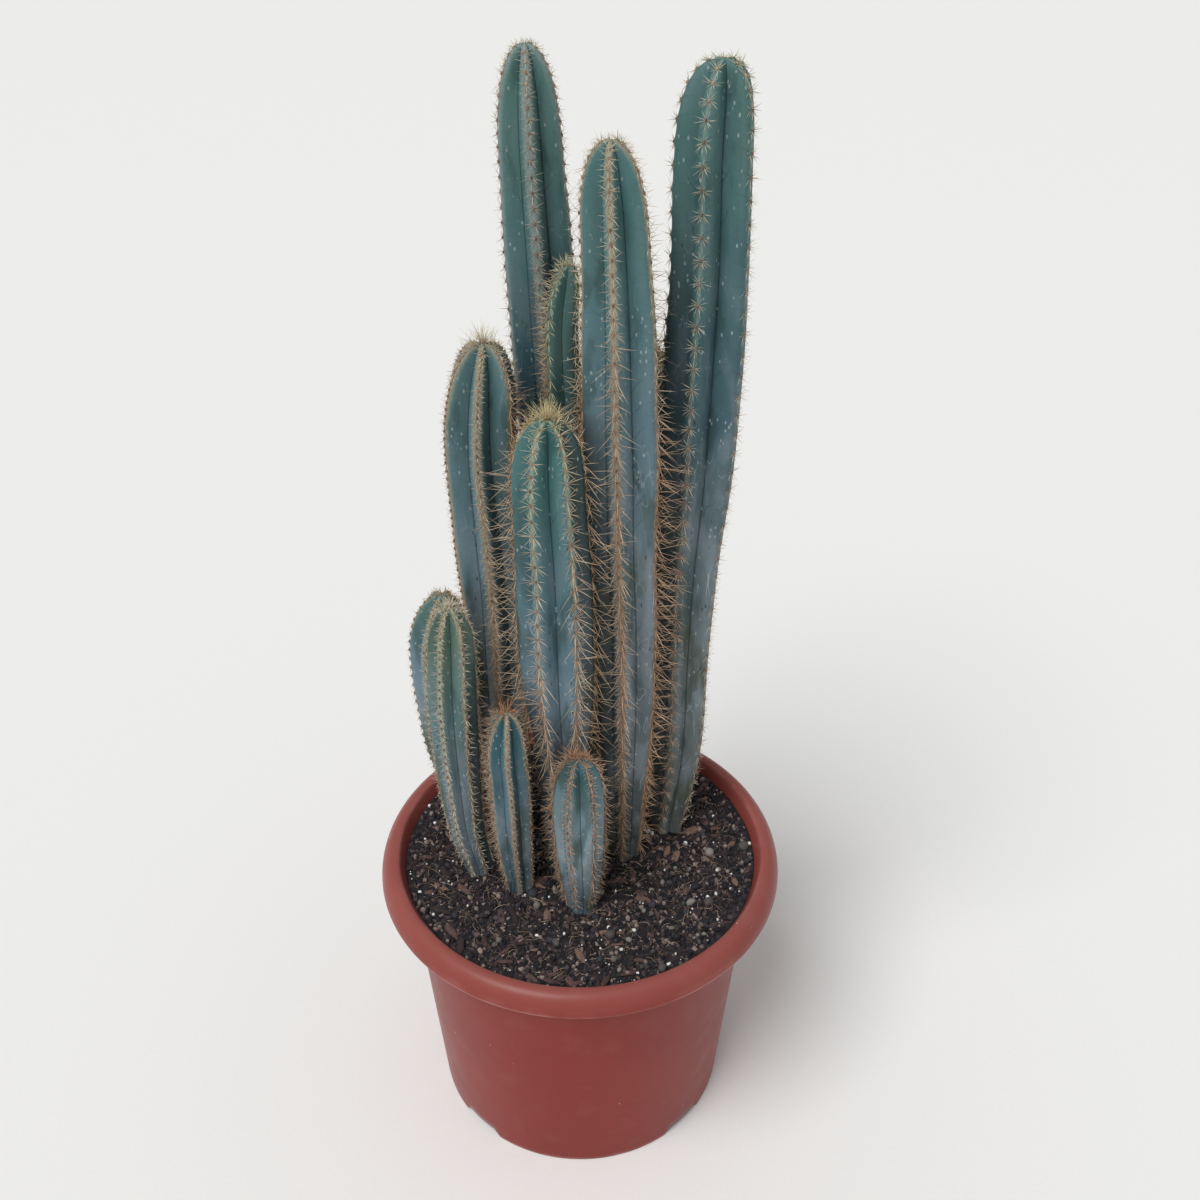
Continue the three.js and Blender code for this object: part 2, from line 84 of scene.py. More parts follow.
# Each stem as it grew. "grooves" is the radius in the grooves at the foot and at the tip, as a share
# of the crest radius. "form" gives, at shares of the height, the shift to the right, the shift back
# and the crest radius. "skin" goes from the foot up to the tip. "band" is the felt and cork along
# the crests at the foot and at the tip, and "felt" its half width and how thickly it covers.
# "spines" has the colours of those that stand free, are sheltered, and are young. "areoles" is the
# spacing. "radials" and "centrals" are lengths where the rib stands free and where it is sheltered.
# "shade" gives, for the ribs that other stems shelter, the share of the height where that begins and
# how deep it is. "tuft" is the length of the young spines at the tip, how far down they grow, and
# how many stand on the very tip. "broken" is the share of the height under which most of the spines
# have broken off.
STEMS = {
    "stem_tall_right": dict(
        foot=(67, 30), height=572.5, ribs=5, turn=-22, crown=44, grooves=(0.6, 0.45),
        form=((0, 0, 0, 13.5), (0.13, 6, 0, 19), (0.28, 6.5, 0, 20.6), (0.43, 8, 0, 22.6),
              (0.53, 10.6, 0, 24.8), (0.64, 12.4, 0, 26.2), (0.8, 13.4, 0, 24.7),
              (0.92, 12.4, 0, 23.6), (1, 14, 0, 22.4)),
        skin=("6a706c", "707c80", "415f69", "4b716f"),
        band=("94866f", "8fa89c"), felt=(1.3, 0.4),
        spines=("d8cdb4", "d0ae8e", "d9dab4"),
        areoles=13.5, radials=(7.8, 8.4), centrals=(8, 18), tuft=(5, 5, 16),
        shade={0: (0.62, 0.6), 3: (0.8, 1), 4: (0.8, 1)},
    ),
    "stem_tall_middle": dict(
        foot=(33.5, 2), height=536.5, ribs=5, turn=-10, crown=54, grooves=(0.75, 0.46),
        form=((0, 0, 0, 12.5), (0.1, 0, 0, 15), (0.24, -0.5, 0, 20), (0.4, -1.5, 0, 21.8),
              (0.52, -4.6, 0, 23), (0.65, -6.2, 0, 24.6), (0.8, -8.4, 0, 22.5),
              (0.91, -11.4, 0, 20.2), (1, -14.5, 0, 18.8)),
        skin=("525858", "6a757b", "607b86", "4a7272"),
        band=("8f7458", "a69f8a"), felt=(2.5, 0.9),
        spines=("e2d4b8", "d0ad8a", "e0dbb8"),
        areoles=8.8, radials=(8.8, 9), centrals=(10, 24), tuft=(6, 7, 20),
        shade={0: (0.88, 0.7), 1: (0.76, 1), 2: (0.95, 1), 3: (0.8, 1), 4: (0.8, 0.9)},
    ),
    "stem_tall_left": dict(
        foot=(3, 73), height=570, ribs=5, turn=0, crown=70, grooves=(0.7, 0.52),
        form=((0, 0, 0, 18.4), (0.32, -13, 0, 21.4), (0.68, -24, 0, 22.1), (0.8, -27, 0, 21.5),
              (0.9, -30, 0, 20), (1, -32, 1, 19)),
        # Its lower skin colours are darkened with painted shade from the stems round it.
        skin=("34495a", "364f5b", "436570", "507570"),
        band=("8f8d86", "8b9a98"), felt=(3.6, 0.85),
        spines=("d4c6b0", "c9a688", "d9d8b6"),
        areoles=9.3, radials=(7.4, 8), centrals=(7, 16), tuft=(5, 5, 16),
        shade={0: (0.6, 0.6), 1: (0.82, 0.7), 2: (0.9, 1), 3: (0.6, 0.4), 4: (0.6, 0.8)},
    ),
    "stem_slim_middle": dict(
        foot=(9, 36), height=452, ribs=4, turn=46, crown=32, grooves=(0.7, 0.6),
        form=((0, 0, 0, 10.5), (0.45, -10, 0, 11.6), (0.85, -18, 0, 12.4), (0.93, -18, 0, 12),
              (1, -14, 0, 11)),
        skin=("2f4844", "33504e", "3b5f5e", "466b66"),
        band=("8a8060", "8c9774"), felt=(1.5, 0.5),
        spines=("dfd3ac", "d8b88c", "e0dcba"),
        areoles=8, radials=(9, 10), centrals=(11, 17), tuft=(9, 7, 24),
        shade={0: (0.9, 0.7), 1: (1, 1), 2: (1, 1), 3: (0.8, 0.7)},
    ),
    "stem_hidden_back": dict(
        foot=(60, 72), height=386, ribs=6, turn=-12, crown=46, grooves=(0.75, 0.55),
        form=((0, 0, 0, 14.5), (0.5, -6, 0, 18.4), (0.8, -11, 0, 17.6), (1, -15, -2, 15.5)),
        skin=("33494a", "3c5654", "48665c", "5a7a5e"),
        band=("8c7a58", "93946e"), felt=(2, 0.5),
        spines=("ecd69c", "e8c48c", "f0e2a8"),
        areoles=9, radials=(9, 11), centrals=(14, 20), tuft=(18, 18, 60),
        shade={rib: (1, 0.8) for rib in range(6)},
    ),
    "stem_left": dict(
        foot=(-53, 28), height=406, ribs=6, turn=-2, crown=64, grooves=(0.85, 0.5),
        form=((0, 0, 0, 15.5), (0.33, -3, 0, 21.3), (0.53, -3.6, 0, 24.5), (0.66, -6.2, 0, 25.3),
              (0.84, -8.8, 0, 24.4), (1, -5, 0, 23.4)),
        skin=("5c6160", "7e878c", "57727c", "507275"),
        band=("a08a70", "9c9884"), felt=(3.2, 0.9),
        spines=("dccaae", "cfa680", "e8dfbe"),
        areoles=5.8, radials=(5.6, 9), centrals=(6, 24), tuft=(16, 4.5, 60),
        broken=0.22,
        shade={0: (0.85, 0.42), 1: (0.97, 1), 2: (0.97, 1), 3: (0.9, 0.8), 4: (0.6, 0.8)},
    ),
    "stem_front": dict(
        foot=(-10.4, -14), height=376, ribs=6, turn=-26.5, crown=49, grooves=(0.8, 0.5),
        form=((0, 0, 0, 14.3), (0.31, -2, -1, 18.8), (0.46, -4, -1, 24), (0.56, -5, -1, 25),
              (0.72, -6, -1, 24), (0.87, -8, -1, 22.6), (1, -8, -1, 21.7)),
        skin=("566870", "738592", "547480", "477371"),
        band=("977a60", "a8b294"), felt=(1.3, 0.7),
        spines=("e8d3b0", "e6c8a2", "e8dba6"),
        areoles=11, radials=(9.6, 10.5), centrals=(14, 30), tuft=(17, 5, 68),
        broken=0.36,
        shade={0: (0.62, 0.7), 1: (0.9, 0.6), 2: (0.98, 0.9), 3: (0.98, 1), 4: (0.98, 1), 5: (0.98, 0.8)},
    ),
    "stem_short_left_front": dict(
        foot=(-76, -15), height=238, ribs=6, turn=36, crown=42, grooves=(0.8, 0.58),
        form=((0, 0, 0, 10.5), (0.16, -7, 0, 12.4), (0.37, -10, 0, 14.8), (0.68, -11, 0, 16.6),
              (0.84, -10, 1, 15.8), (1, -9, 1, 15)),
        skin=("5f7078", "6d808a", "5a7678", "5c7466"),
        band=("aaa48e", "b9b494"), felt=(1.5, 0.85),
        spines=("dcd4bc", "d0b594", "e8e3ce"),
        areoles=6.5, radials=(5.8, 7), centrals=(8, 12), tuft=(10, 4, 34),
        shade={1: (0.9, 0.8), 2: (1, 1), 3: (0.8, 0.6)},
    ),
    "stem_short_left_back": dict(
        foot=(-84, 46), height=207, ribs=6, turn=-24, crown=48, grooves=(0.85, 0.58),
        form=((0, 0, 0, 13), (0.28, -12, 0, 18.4), (0.5, -16, 0, 19.4), (0.78, -18, 0, 19.8),
              (1, -12, 0, 19)),
        skin=("74776b", "89897f", "738b99", "54746f"),
        band=("a8a28e", "989d8e"), felt=(2, 0.7),
        spines=("cdbe9c", "c0946e", "cfae84"),
        areoles=8, radials=(4.2, 7), centrals=(5, 11), tuft=(7, 6, 20),
        shade={1: (1, 0.8), 2: (1, 1)},
    ),
    "stem_small_front_left": dict(
        foot=(-45, -34), height=167, ribs=6, turn=5, crown=40, grooves=(0.75, 0.6),
        form=((0, 0, 0, 10.5), (0.34, -3, -1, 14.3), (0.62, -4, -1, 15), (0.78, -5, -2, 14.5),
              (1, -4, -2, 13.8)),
        skin=("34505c", "6f838d", "4d6e7b", "32606a"),
        band=("ab9d86", "b8ae95"), felt=(1.8, 0.8),
        spines=("cdb49a", "c2ab90", "c08a62"),
        areoles=5.5, radials=(3.4, 5.6), centrals=(4.4, 9.5), tuft=(15, 1.2, 20),
        shade={4: (1.2, 1), 5: (1.2, 0.9)},
    ),
    "stem_small_front": dict(
        foot=(1, -51), height=139, ribs=6, turn=-24, crown=47, grooves=(0.85, 0.6),
        form=((0, 0, 0, 11), (0.31, -1, 0, 15.9), (0.58, -2, 0, 17.7), (0.74, -2, 0, 17.5),
              (1, -2, 0, 16.8)),
        skin=("5c7480", "8a9fa8", "829aa3", "3f6d76"),
        # Its felt band's colours are darkened with painted shade from its spines.
        band=("766c60", "7b7468"), felt=(1.2, 0.6),
        spines=("cbab90", "c6a88c", "c9986c"),
        areoles=6.5, radials=(5.6, 8.5), centrals=(6.8, 13), tuft=(18, 1.2, 22),
        shade={0: (1.2, 0.3), 1: (1.2, 0.44), 2: (1.2, 0.6), 4: (1.2, 1), 5: (1.2, 1)},
    ),
}

# ---------- Sizes that only the fine surfaces have ----------

# A rib's section: at shares of the way from its crest to its groove, how much of its height is left.
RIB_SECTION = ((0, 1), (0.1, 0.993), (0.2, 0.968), (0.3, 0.91), (0.38, 0.8), (0.46, 0.67),
               (0.57, 0.475), (0.7, 0.285), (0.85, 0.115), (1, 0))
# The columns of points across half a rib, at shares of that way.
RIB_COLUMNS = (0, 0.05, 0.11, 0.2, 0.27, 0.33, 0.4, 0.48, 0.58, 0.7, 0.83, 0.93, 0.975)
RING_STEP = 2.2  # between two sections of a stem
CROWN_RINGS = 30
WANDER = 0.8  # degrees that the ribs sway to and fro
WANDER_LENGTH = 170
SWELL = 0.01  # share of the radius that a rib swells and shrinks
SWELL_LENGTH = 95
SWELL_TURN = 2.4  # radians that one rib's swelling is out of step with the next one's
NODULE = 0.6  # how far the crest stands out under each areole
NODULE_REACH = 0.2  # share of the spacing to each side
NODULE_WIDTH = 3.2  # across the crest
NODULE_FULL = 12  # radius of a stem's crests from which its nodules are full size
SKIN_VALUES = ("across", "beside", "beads", "shade", "share")  # that the skin's points carry
TIP_VALUES = (0.3, 0, 0, 0, 1)
FOOT_VALUES = (0.3, 0, 0, 1, 0)
AREOLE_SHIFT = 0.38  # share of the spacing that each rib's areoles stand above its neighbour's
CROWN_CROWDING = 0.55  # spacing of the areoles at the tip, of that below the crown
TIP_TURN = 0.12  # radians over the crown, from the very tip to the first areole
LOWEST_AREOLE = 5  # above the soil

RADIAL_THICKNESS = 0.16  # radius of a spine at its root
CENTRAL_THICKNESS = 0.19
TUFT_THICKNESS = 0.14
RADIAL_TILT = (69, 16)  # degrees that spines lean from straight out, and how much that varies
CENTRAL_TILT = (36, 24)
SHELTERED_TILT = (50, 30)
YOUNG_TILT = (38, 30)
TIP_TILT = (37, 35)
CENTRALS = 2  # at each areole
YOUNG_SPINES = 4
FAN_JITTER = 0.4  # share of the space between a fan's spines
SPINE_LENGTHS = (0.6, 1.05)  # of a fan's spines, as shares of the length given for them
SPINE_ROOTS = (0.2, 1)  # how far from the middle of an areole its spines grow
SPINE_SUNK = 0.4  # how deep they start under its surface
SPINE_SAG = 0.18  # how much further they lean down than up
SPINE_BEND = 0.05  # share of its length that a spine may bend aside
NEEDLE = ((0, 1, 3), (0.55, 0.8, 3), (1, 0, 1))  # along it: the share, the girth and the corners
NEEDLE_POINTS = 7
CROWDED = 0.45  # shade from which an areole also has spines that reach out of the clump
YOUNG = 0.3  # youth from which it has young spines
CROWN_SHRINK = 0.15  # share by which the other spines are shorter at the tip
SKIN_SHARE = 0.94  # share of the crest radius that counts as the skin of a stem close by
MEETING = 0.995  # nearness to another stem at which a spine meets it
# The skin near other stems is darkened with painted shade:
SHADE_STARTS = 0.58  # nearness to another stem at which skin begins to darken
SHADE_DEPTH = 0.26  # and how much nearer it is darkest
SHADE_DEEPENS = 0.12  # share of the height over which the shade on a rib grows to its full depth
TOWARDS_LIGHT = 0.7  # how far sheltered spines turn away from the middle of the clump
SPINE_TRIES = 6
WORN_BELOW = 0.4  # share of the height under which the long spines are worn back
WORN_LENGTH = 0.5  # what is left of them at the foot
BROKEN_LEAVES = 0.15  # share of the areoles that keep spines where most have broken off
CLUMP_MIDDLE = (5, 45)
TOUCHING = 60  # how far from a stem the test for spines that would run into it begins
CUSHION_LENGTH = 1.25
CUSHION_WIDTH = 0.9
CUSHION_TOP = 1.05  # above the skin
CUSHION_SUNK = 0.8
CUSHION_FULL = 14  # radius of a stem's crests from which its cushions are full size
CUSHION_RINGS = 3
CUSHION_SIDES = 7
FRESH = 0.7  # share of the crown over which the felt ages

# ---------- Helpers ----------

GRAIN_CELLS = 64  # bumps before a pattern of them repeats


def linear(code):
    """An sRGB hex colour as linear RGBA."""
    values = [int(code[i:i + 2], 16) / 255 for i in (0, 2, 4)]
    values = [v / 12.92 if v <= 0.04045 else ((v + 0.055) / 1.055) ** 2.4 for v in values]
    return (*values, 1)


def per_metre(size):
    """How often a pattern repeats in a metre, from the size of one repeat in millimetres."""
    return 1 / (size * MM)


def settle(node, inputs):
    """Sets or links a shader node's inputs."""
    for key, value in inputs.items():
        if isinstance(value, bpy.types.NodeSocket):
            node.id_data.links.new(value, node.inputs[key])
        else:
            node.inputs[key].default_value = value


def add(tree, kind, inputs=None, out=0, stops=(), **settings):
    """Adds a shader node with its settings and links, and gives one of its outputs."""
    node = tree.nodes.new("ShaderNode" + kind)
    for name, value in settings.items():
        setattr(node, name, value)
    settle(node, inputs or {})
    for _ in stops[2:]:
        node.color_ramp.elements.new(0.5)
    for element, (place, code) in zip(node.color_ramp.elements if stops else (), stops):
        element.position = place
        element.color = linear(code)
    return node.outputs[out]


def new_material(name):
    """An empty material: its node tree, and the shader that the finish is set on."""
    material = bpy.data.materials.new(name)
    material.use_nodes = True
    return material, material.node_tree, material.node_tree.nodes["Principled BSDF"]


def outward(heading):
    """The level direction of a heading, or of many."""
    angle = np.radians(heading)
    return np.stack([np.sin(angle), -np.cos(angle), np.zeros_like(angle)], axis=-1)


def course(form):
    """The smooth line through a form's points. Its slope at each point is the mean of its chords'."""
    knots = np.array(form, float)
    shares, values = knots[:, 0], knots[:, 1:]
    spans = np.diff(shares)[:, None]
    chords = np.diff(values, axis=0) / spans
    slopes = np.vstack([chords[:1], (chords[:-1] + chords[1:]) / 2, chords[-1:]])

    def at(share):
        i = np.clip(np.searchsorted(shares, share, side="right") - 1, 0, len(chords) - 1)
        p = ((share - shares[i]) / spans[i, 0])[..., None]
        low = (1 + 2 * p) * (1 - p) ** 2 * values[i] + p * (1 - p) ** 2 * spans[i] * slopes[i]
        high = p ** 2 * (3 - 2 * p) * values[i + 1] + p ** 2 * (p - 1) * spans[i] * slopes[i + 1]
        return low + high

    return at


def grain(x, y, size, seed):
    """Smooth random heights from -1 to 1, in bumps of about a size."""
    table = np.random.default_rng(seed).uniform(-1, 1, (GRAIN_CELLS, GRAIN_CELLS))
    u, v = np.asarray(x) / size, np.asarray(y) / size
    i, j = np.floor(u).astype(int), np.floor(v).astype(int)
    p, q = u - i, v - j
    p, q = p * p * (3 - 2 * p), q * q * (3 - 2 * q)
    low, high = (
        table[i % GRAIN_CELLS, row % GRAIN_CELLS] * (1 - p)
        + table[(i + 1) % GRAIN_CELLS, row % GRAIN_CELLS] * p for row in (j, j + 1))
    return low * (1 - q) + high * q


def make_piece(name, points, faces, material, slot, smooth=True, **values):
    """A piece of the object from points in millimetres. Values are numbers at its points."""
    mesh = bpy.data.meshes.new(name)
    mesh.from_pydata((np.asarray(points) * MM).tolist(), [], faces)
    for key, numbers in values.items():
        layer = mesh.attributes.new(key, "FLOAT", "POINT")
        layer.data.foreach_set("value", np.asarray(numbers, np.float32))
    mesh.materials.append(material)
    mesh.polygons.foreach_set("use_smooth", [smooth] * len(mesh.polygons))
    mesh.update()
    piece = bpy.data.objects.new(name, mesh)
    bpy.context.scene.collection.objects.link(piece)
    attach(piece, BODY)
    return piece


def ring_faces(rings, sides):
    """The four-cornered faces between rings of points that are closed round."""
    low = np.arange(rings - 1)[:, None] * sides + np.arange(sides)
    beside = np.arange(rings - 1)[:, None] * sides + (np.arange(sides) + 1) % sides
    return np.stack([low, beside, beside + sides, low + sides], axis=-1).reshape(-1, 4).tolist()


def closed_faces(rings, sides):
    """The faces of a body of rings. After the rings come one point over the last and one under the
    first."""
    here = np.arange(sides)
    beside = (here + 1) % sides
    last = (rings - 1) * sides
    over = np.stack([last + here, last + beside, np.full(sides, rings * sides)], axis=-1)
    under = np.stack([beside, here, np.full(sides, rings * sides + 1)], axis=-1)
    return ring_faces(rings, sides) + over.tolist() + under.tolist()


def copies(size, faces, count, start=0):
    """The faces of many copies of a shape of a few points, one after another from a first point."""
    step = (start + np.arange(count) * size)[:, None]
    return [face for group in faces for face in (np.array(group) + step).tolist()]


def turned(points, axes, angles):
    """Shapes turned in the plane of two axes, each by its own angle."""
    a, b = axes
    cos, sin = np.cos(angles)[:, None], np.sin(angles)[:, None]
    points[..., a], points[..., b] = (
        points[..., a] * cos - points[..., b] * sin, points[..., a] * sin + points[..., b] * cos)


# ---------- Stems ----------


def section(stem, height):
    """The middle and the crest radius of a stem at heights above the soil."""
    share = np.clip((height - COLLAR) / (stem["height"] - COLLAR), 0, 1)
    right, back, girth = np.moveaxis(course(stem["form"])(share), -1, 0)
    crown = np.clip(1 - (stem["height"] - height) / stem["crown"], 0, 1)
    closing = (1 - crown ** CROWN_BLUNTNESS) ** (1 / CROWN_BLUNTNESS)
    x, y = stem["foot"]
    middle = np.stack([x + right, y + back, SOIL_LEVEL + height], axis=-1)
    return middle, girth * closing


def rib_heading(stem, rib, height):
    """The heading of a rib's crest, which sways a little on its way up."""
    sway = WANDER * np.sin(2 * np.pi * height / WANDER_LENGTH + stem["turn"])
    return stem["turn"] + rib * 360 / stem["ribs"] + sway


def areole_count(stem):
    """At heights from the tip down, how many areoles of a rib lie above each."""
    top = stem["crown"] * (1 - np.cos(np.linspace(TIP_TURN, np.pi / 2, 60)))
    low = np.arange(stem["crown"], stem["height"] + PLANTING_DEPTH, 1.0)
    height = stem["height"] - np.concatenate([top, low])
    _, radius = section(stem, height)
    steps = np.hypot(np.diff(height), np.diff(radius))
    crown = np.clip(1 - (stem["height"] - height[1:]) / stem["crown"], 0, 1)
    spacing = stem["areoles"] * (1 - (1 - CROWN_CROWDING) * crown ** 0.8)
    return height, np.concatenate([[0], np.cumsum(steps / spacing)])


def surface(stem, rib, height, across, side):
    """Points of a stem's skin: at a height, and across a rib from its crest to its groove."""
    middle, radius = section(stem, height)
    groove = np.interp(height, (0, stem["height"]), stem["grooves"])
    fullness = groove + (1 - groove) * course(RIB_SECTION)(across)[..., 0]
    beat = 2 * np.pi * height / SWELL_LENGTH + rib * SWELL_TURN + stem["turn"]
    fullness = fullness * (1 + SWELL * np.sin(beat) * (1 - across))
    heading = rib_heading(stem, rib, height) + side * across * 180 / stem["ribs"]
    return middle + outward(heading) * (radius * fullness)[..., None]


def skin_heights(stem):
    """The heights of a stem's sections, from below the soil up over the crown."""
    shoulder = stem["height"] - stem["crown"]
    shaft = np.linspace(-PLANTING_DEPTH / 2, shoulder, round(shoulder / RING_STEP) + 4)
    turn = np.linspace(0, np.pi / 2, CROWN_RINGS + 1)[1:-1]
    return np.concatenate([shaft, shoulder + stem["crown"] * np.sin(turn) ** (2 / CROWN_BLUNTNESS)])


def nearness(stem, points):
    """How near points are to another stem: 0 is far away, 1 is its skin, and above 1 is inside it."""
    found = np.zeros(len(points))
    for other in STEMS.values():
        if other is stem:
            continue
        height = points[:, 2] - SOIL_LEVEL
        middle, radius = section(other, np.clip(height, 0, other["height"] - 0.5))
        distance = np.linalg.norm(points - middle, axis=1) - radius * SKIN_SHARE
        found = np.maximum(found, 1 - distance / TOUCHING)
    return found


def make_skin(name, stem, material):
    """The ribbed body of a stem, with a nodule under each areole."""
    heights = skin_heights(stem)
    shares = heights / stem["height"]
    table, counts = areole_count(stem)
    passed = np.interp(heights, table[::-1], counts[::-1])
    _, radius = section(stem, heights)
    columns = [(0, share, 1) for share in (*RIB_COLUMNS, 1)]
    columns += [(1, share, -1) for share in reversed(RIB_COLUMNS[1:])]
    points, values = [], []
    for rib in range(stem["ribs"]):
        for further, share, side in columns:
            whose = rib + further
            across = np.full_like(heights, share)
            line = surface(stem, whose, heights, across, side)
            off_crest = radius * share * np.pi / stem["ribs"]
            count = passed + AREOLE_SHIFT * (whose % stem["ribs"])
            off_areole = ((count + 0.5) % 1 - 0.5) / NODULE_REACH
            push = NODULE * np.exp(-(off_areole ** 2) - (off_crest / NODULE_WIDTH) ** 2)
            push *= np.clip(radius / NODULE_FULL, 0, 1)
            points.append(line + outward(rib_heading(stem, whose, heights)) * push[:, None])
            # How deep the painted shade from the stems close by lies on the skin.
            shade = np.clip((nearness(stem, line) - SHADE_STARTS) / SHADE_DEPTH, 0, 1)
            values.append(np.stack([across, off_crest, count, shade, shares], axis=-1))
    faces = closed_faces(len(heights), len(points))
    tip, _ = section(stem, np.array(float(stem["height"])))
    foot, _ = section(stem, heights[:1])
    points = np.vstack([np.stack(points, axis=1).reshape(-1, 3), tip, foot])
    values = np.stack(values, axis=1).reshape(-1, len(SKIN_VALUES))
    values = np.vstack([values, TIP_VALUES, FOOT_VALUES]).T
    skin = make_piece(
        name + "_skin", points, faces, material, SLOTS[name], **dict(zip(SKIN_VALUES, values)))
    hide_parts(name)


def find_areoles(stem):
    """Every areole of a stem: its place, the way it faces, across and up its rib, its height above
    the soil, and how far the rib is shaded there."""
    table, counts = areole_count(stem)
    found = []
    for rib in range(stem["ribs"]):
        numbers = np.arange(1, counts[-1]) - AREOLE_SHIFT * rib % 1
        height = np.interp(numbers, counts, table)
        height = height[height > LOWEST_AREOLE]
        zero = np.zeros_like(height)
        place = surface(stem, rib, height, zero, 1)
        up = surface(stem, rib, height + 0.5, zero, 1) - place
        up /= np.linalg.norm(up, axis=1)[:, None]
        across = np.cross((0, 0, 1), outward(rib_heading(stem, rib, height)))
        facing = np.cross(across, up)
        start, depth = stem["shade"].get(rib, (0, 0))
        shade = depth * np.clip((start - height / stem["height"]) / SHADE_DEEPENS, 0, 1)
        found.append((place + facing * NODULE * 0.6, facing, across, up, height, shade))
    return [np.concatenate(part) for part in zip(*found)]


def needles(draw, root, direction, length, thickness):
    """Tapering three-sided needles that bend a little, and how far along its needle each point is."""
    helper = np.where(np.abs(direction[:, 2:]) < 0.9, (0, 0, 1), (1, 0, 0))
    first = np.cross(direction, helper)
    first /= np.linalg.norm(first, axis=1)[:, None]
    second = np.cross(direction, first)
    bend = draw.uniform(-1, 1, (len(root), 2)) * SPINE_BEND
    bend = first * bend[:, :1] + second * bend[:, 1:]
    points = []
    for share, girth, corners in NEEDLE:
        middle = root + direction * (length * share)[:, None]
        middle += bend * (length * share ** 2)[:, None]
        for corner in range(corners):
            angle = 2 * np.pi * corner / 3
            rim = first * np.cos(angle) + second * np.sin(angle)
            points.append(middle + rim * thickness * girth)
    faces = ((0, 2, 1), (0, 1, 4, 3), (1, 2, 5, 4), (2, 0, 3, 5), (3, 4, 6), (4, 5, 6), (5, 3, 6))
    along = np.tile((0, 0, 0, 0.5, 0.5, 0.5, 1), len(root))
    return np.stack(points, axis=1).reshape(-1, 3), faces, along


def fan(draw, areoles, count, tilt, length):
    """Spines that fan out of each areole: their roots, directions and lengths."""
    place, facing, across, up = (np.repeat(part, count, axis=0) for part in areoles)
    turn = np.tile(np.arange(count) / count, len(areoles[0]))
    turn = 2 * np.pi * (turn + draw.uniform(-FAN_JITTER, FAN_JITTER, len(turn)) / count)
    lean, spread = tilt
    lean = np.radians(lean + draw.uniform(-spread, spread, len(turn)))
    sideways = across * np.cos(turn)[:, None] + up * (np.sin(turn) - SPINE_SAG)[:, None]
    direction = facing * np.cos(lean)[:, None] + sideways * np.sin(lean)[:, None]
    direction /= np.linalg.norm(direction, axis=1)[:, None]
    lengths = np.repeat(length, count) * draw.uniform(*SPINE_LENGTHS, len(turn))
    root = place + sideways * draw.uniform(*SPINE_ROOTS, (len(turn), 1)) - facing * SPINE_SUNK
    return root, direction, lengths


def clear_fan(draw, stem, *details):
    """A fan of spines, and which of them to keep. One that would meet another stem or the soil is
    drawn again, and left out if that doesn't help."""
    spines = fan(draw, *details)
    for _ in range(SPINE_TRIES):
        root, direction, length = spines
        middle, end = (root + direction * (length * share)[:, None] for share in (0.6, 1))
        blocked = np.maximum(nearness(stem, middle), nearness(stem, end)) > MEETING
        blocked |= end[:, 2] < SOIL_LEVEL + 1
        for part, fresh in zip(spines, fan(draw, *details)):
            part[blocked] = fresh[blocked]
    return *spines, ~blocked


def make_spines(name, stem, material, draw):
    """All the spines of a stem: radials round each areole, longer centrals, and the tip's tuft."""
    parts = find_areoles(stem)
    whole = parts[4] > stem.get("broken", 0) * stem["height"]
    whole |= draw.uniform(0, 1, len(whole)) < BROKEN_LEAVES
    *areoles, height, sheltered = (part[whole] for part in parts)
    below = stem["height"] - height
    long, reach, number = stem["tuft"]
    youth = np.exp(-((below / reach) ** 2))
    small = 1 - CROWN_SHRINK * np.clip(1 - below / stem["crown"], 0, 1)
    radial = np.interp(sheltered, (0, 1), stem["radials"])
    central = np.interp(sheltered, (0, 1), stem["centrals"])
    central *= np.interp(height / stem["height"], (0, WORN_BELOW), (WORN_LENGTH, 1))
    crowded, young = sheltered > CROWDED, youth > YOUNG
    opened = [part[crowded] for part in areoles]
    outside = opened[0] - (*CLUMP_MIDDLE, 0)
    outside[:, 2] = 0
    outside /= np.linalg.norm(outside, axis=1)[:, None]
    opened[1] = opened[1] + outside * TOWARDS_LIGHT
    tip, _ = section(stem, np.array(float(stem["height"])))
    top = [np.array([part], float) for part in (tip, (0, 0, 1), (1, 0, 0), (0, 1, 0))]
    # Areoles that stand further apart are larger and carry more spines.
    radials = round(2 + stem["areoles"] * 0.72)
    more = round(min(4.4, stem["areoles"] * 0.6))
    groups = [
        (areoles, radials, RADIAL_TILT, radial * small, RADIAL_THICKNESS, youth, sheltered),
        (areoles, CENTRALS, CENTRAL_TILT, central * small, CENTRAL_THICKNESS, youth, sheltered),
        (opened, more, SHELTERED_TILT, central[crowded], CENTRAL_THICKNESS, youth[crowded],
         sheltered[crowded]),
        ([part[young] for part in areoles], YOUNG_SPINES, YOUNG_TILT, long * youth[young],
         TUFT_THICKNESS, youth[young], sheltered[young]),
        (top, number, TIP_TILT, np.array([long]), TUFT_THICKNESS, np.ones(1), np.zeros(1)),
    ]
    points, faces, start = [], [], 0
    values = {"youth": [], "sheltered": [], "along": [], "tone": []}
    for group, count, tilt, length, thickness, fresh, close in groups:
        *spines, keep = clear_fan(draw, stem, group, count, tilt, length)
        root, direction, length = (part[keep] for part in spines)
        made, shape, along = needles(draw, root, direction, length, thickness)
        points.append(made)
        faces += copies(NEEDLE_POINTS, shape, len(root), start)
        start += len(made)
        tone = draw.uniform(0, 1, len(root))
        for key, numbers in (("youth", fresh), ("sheltered", close)):
            values[key].append(np.repeat(np.repeat(numbers, count)[keep], NEEDLE_POINTS))
        values["along"].append(along)
        values["tone"].append(np.repeat(tone, NEEDLE_POINTS))
    make_piece(
        name + "_spines", np.vstack(points), faces, material, "spines", smooth=False,
        **{key: np.concatenate(numbers) for key, numbers in values.items()})


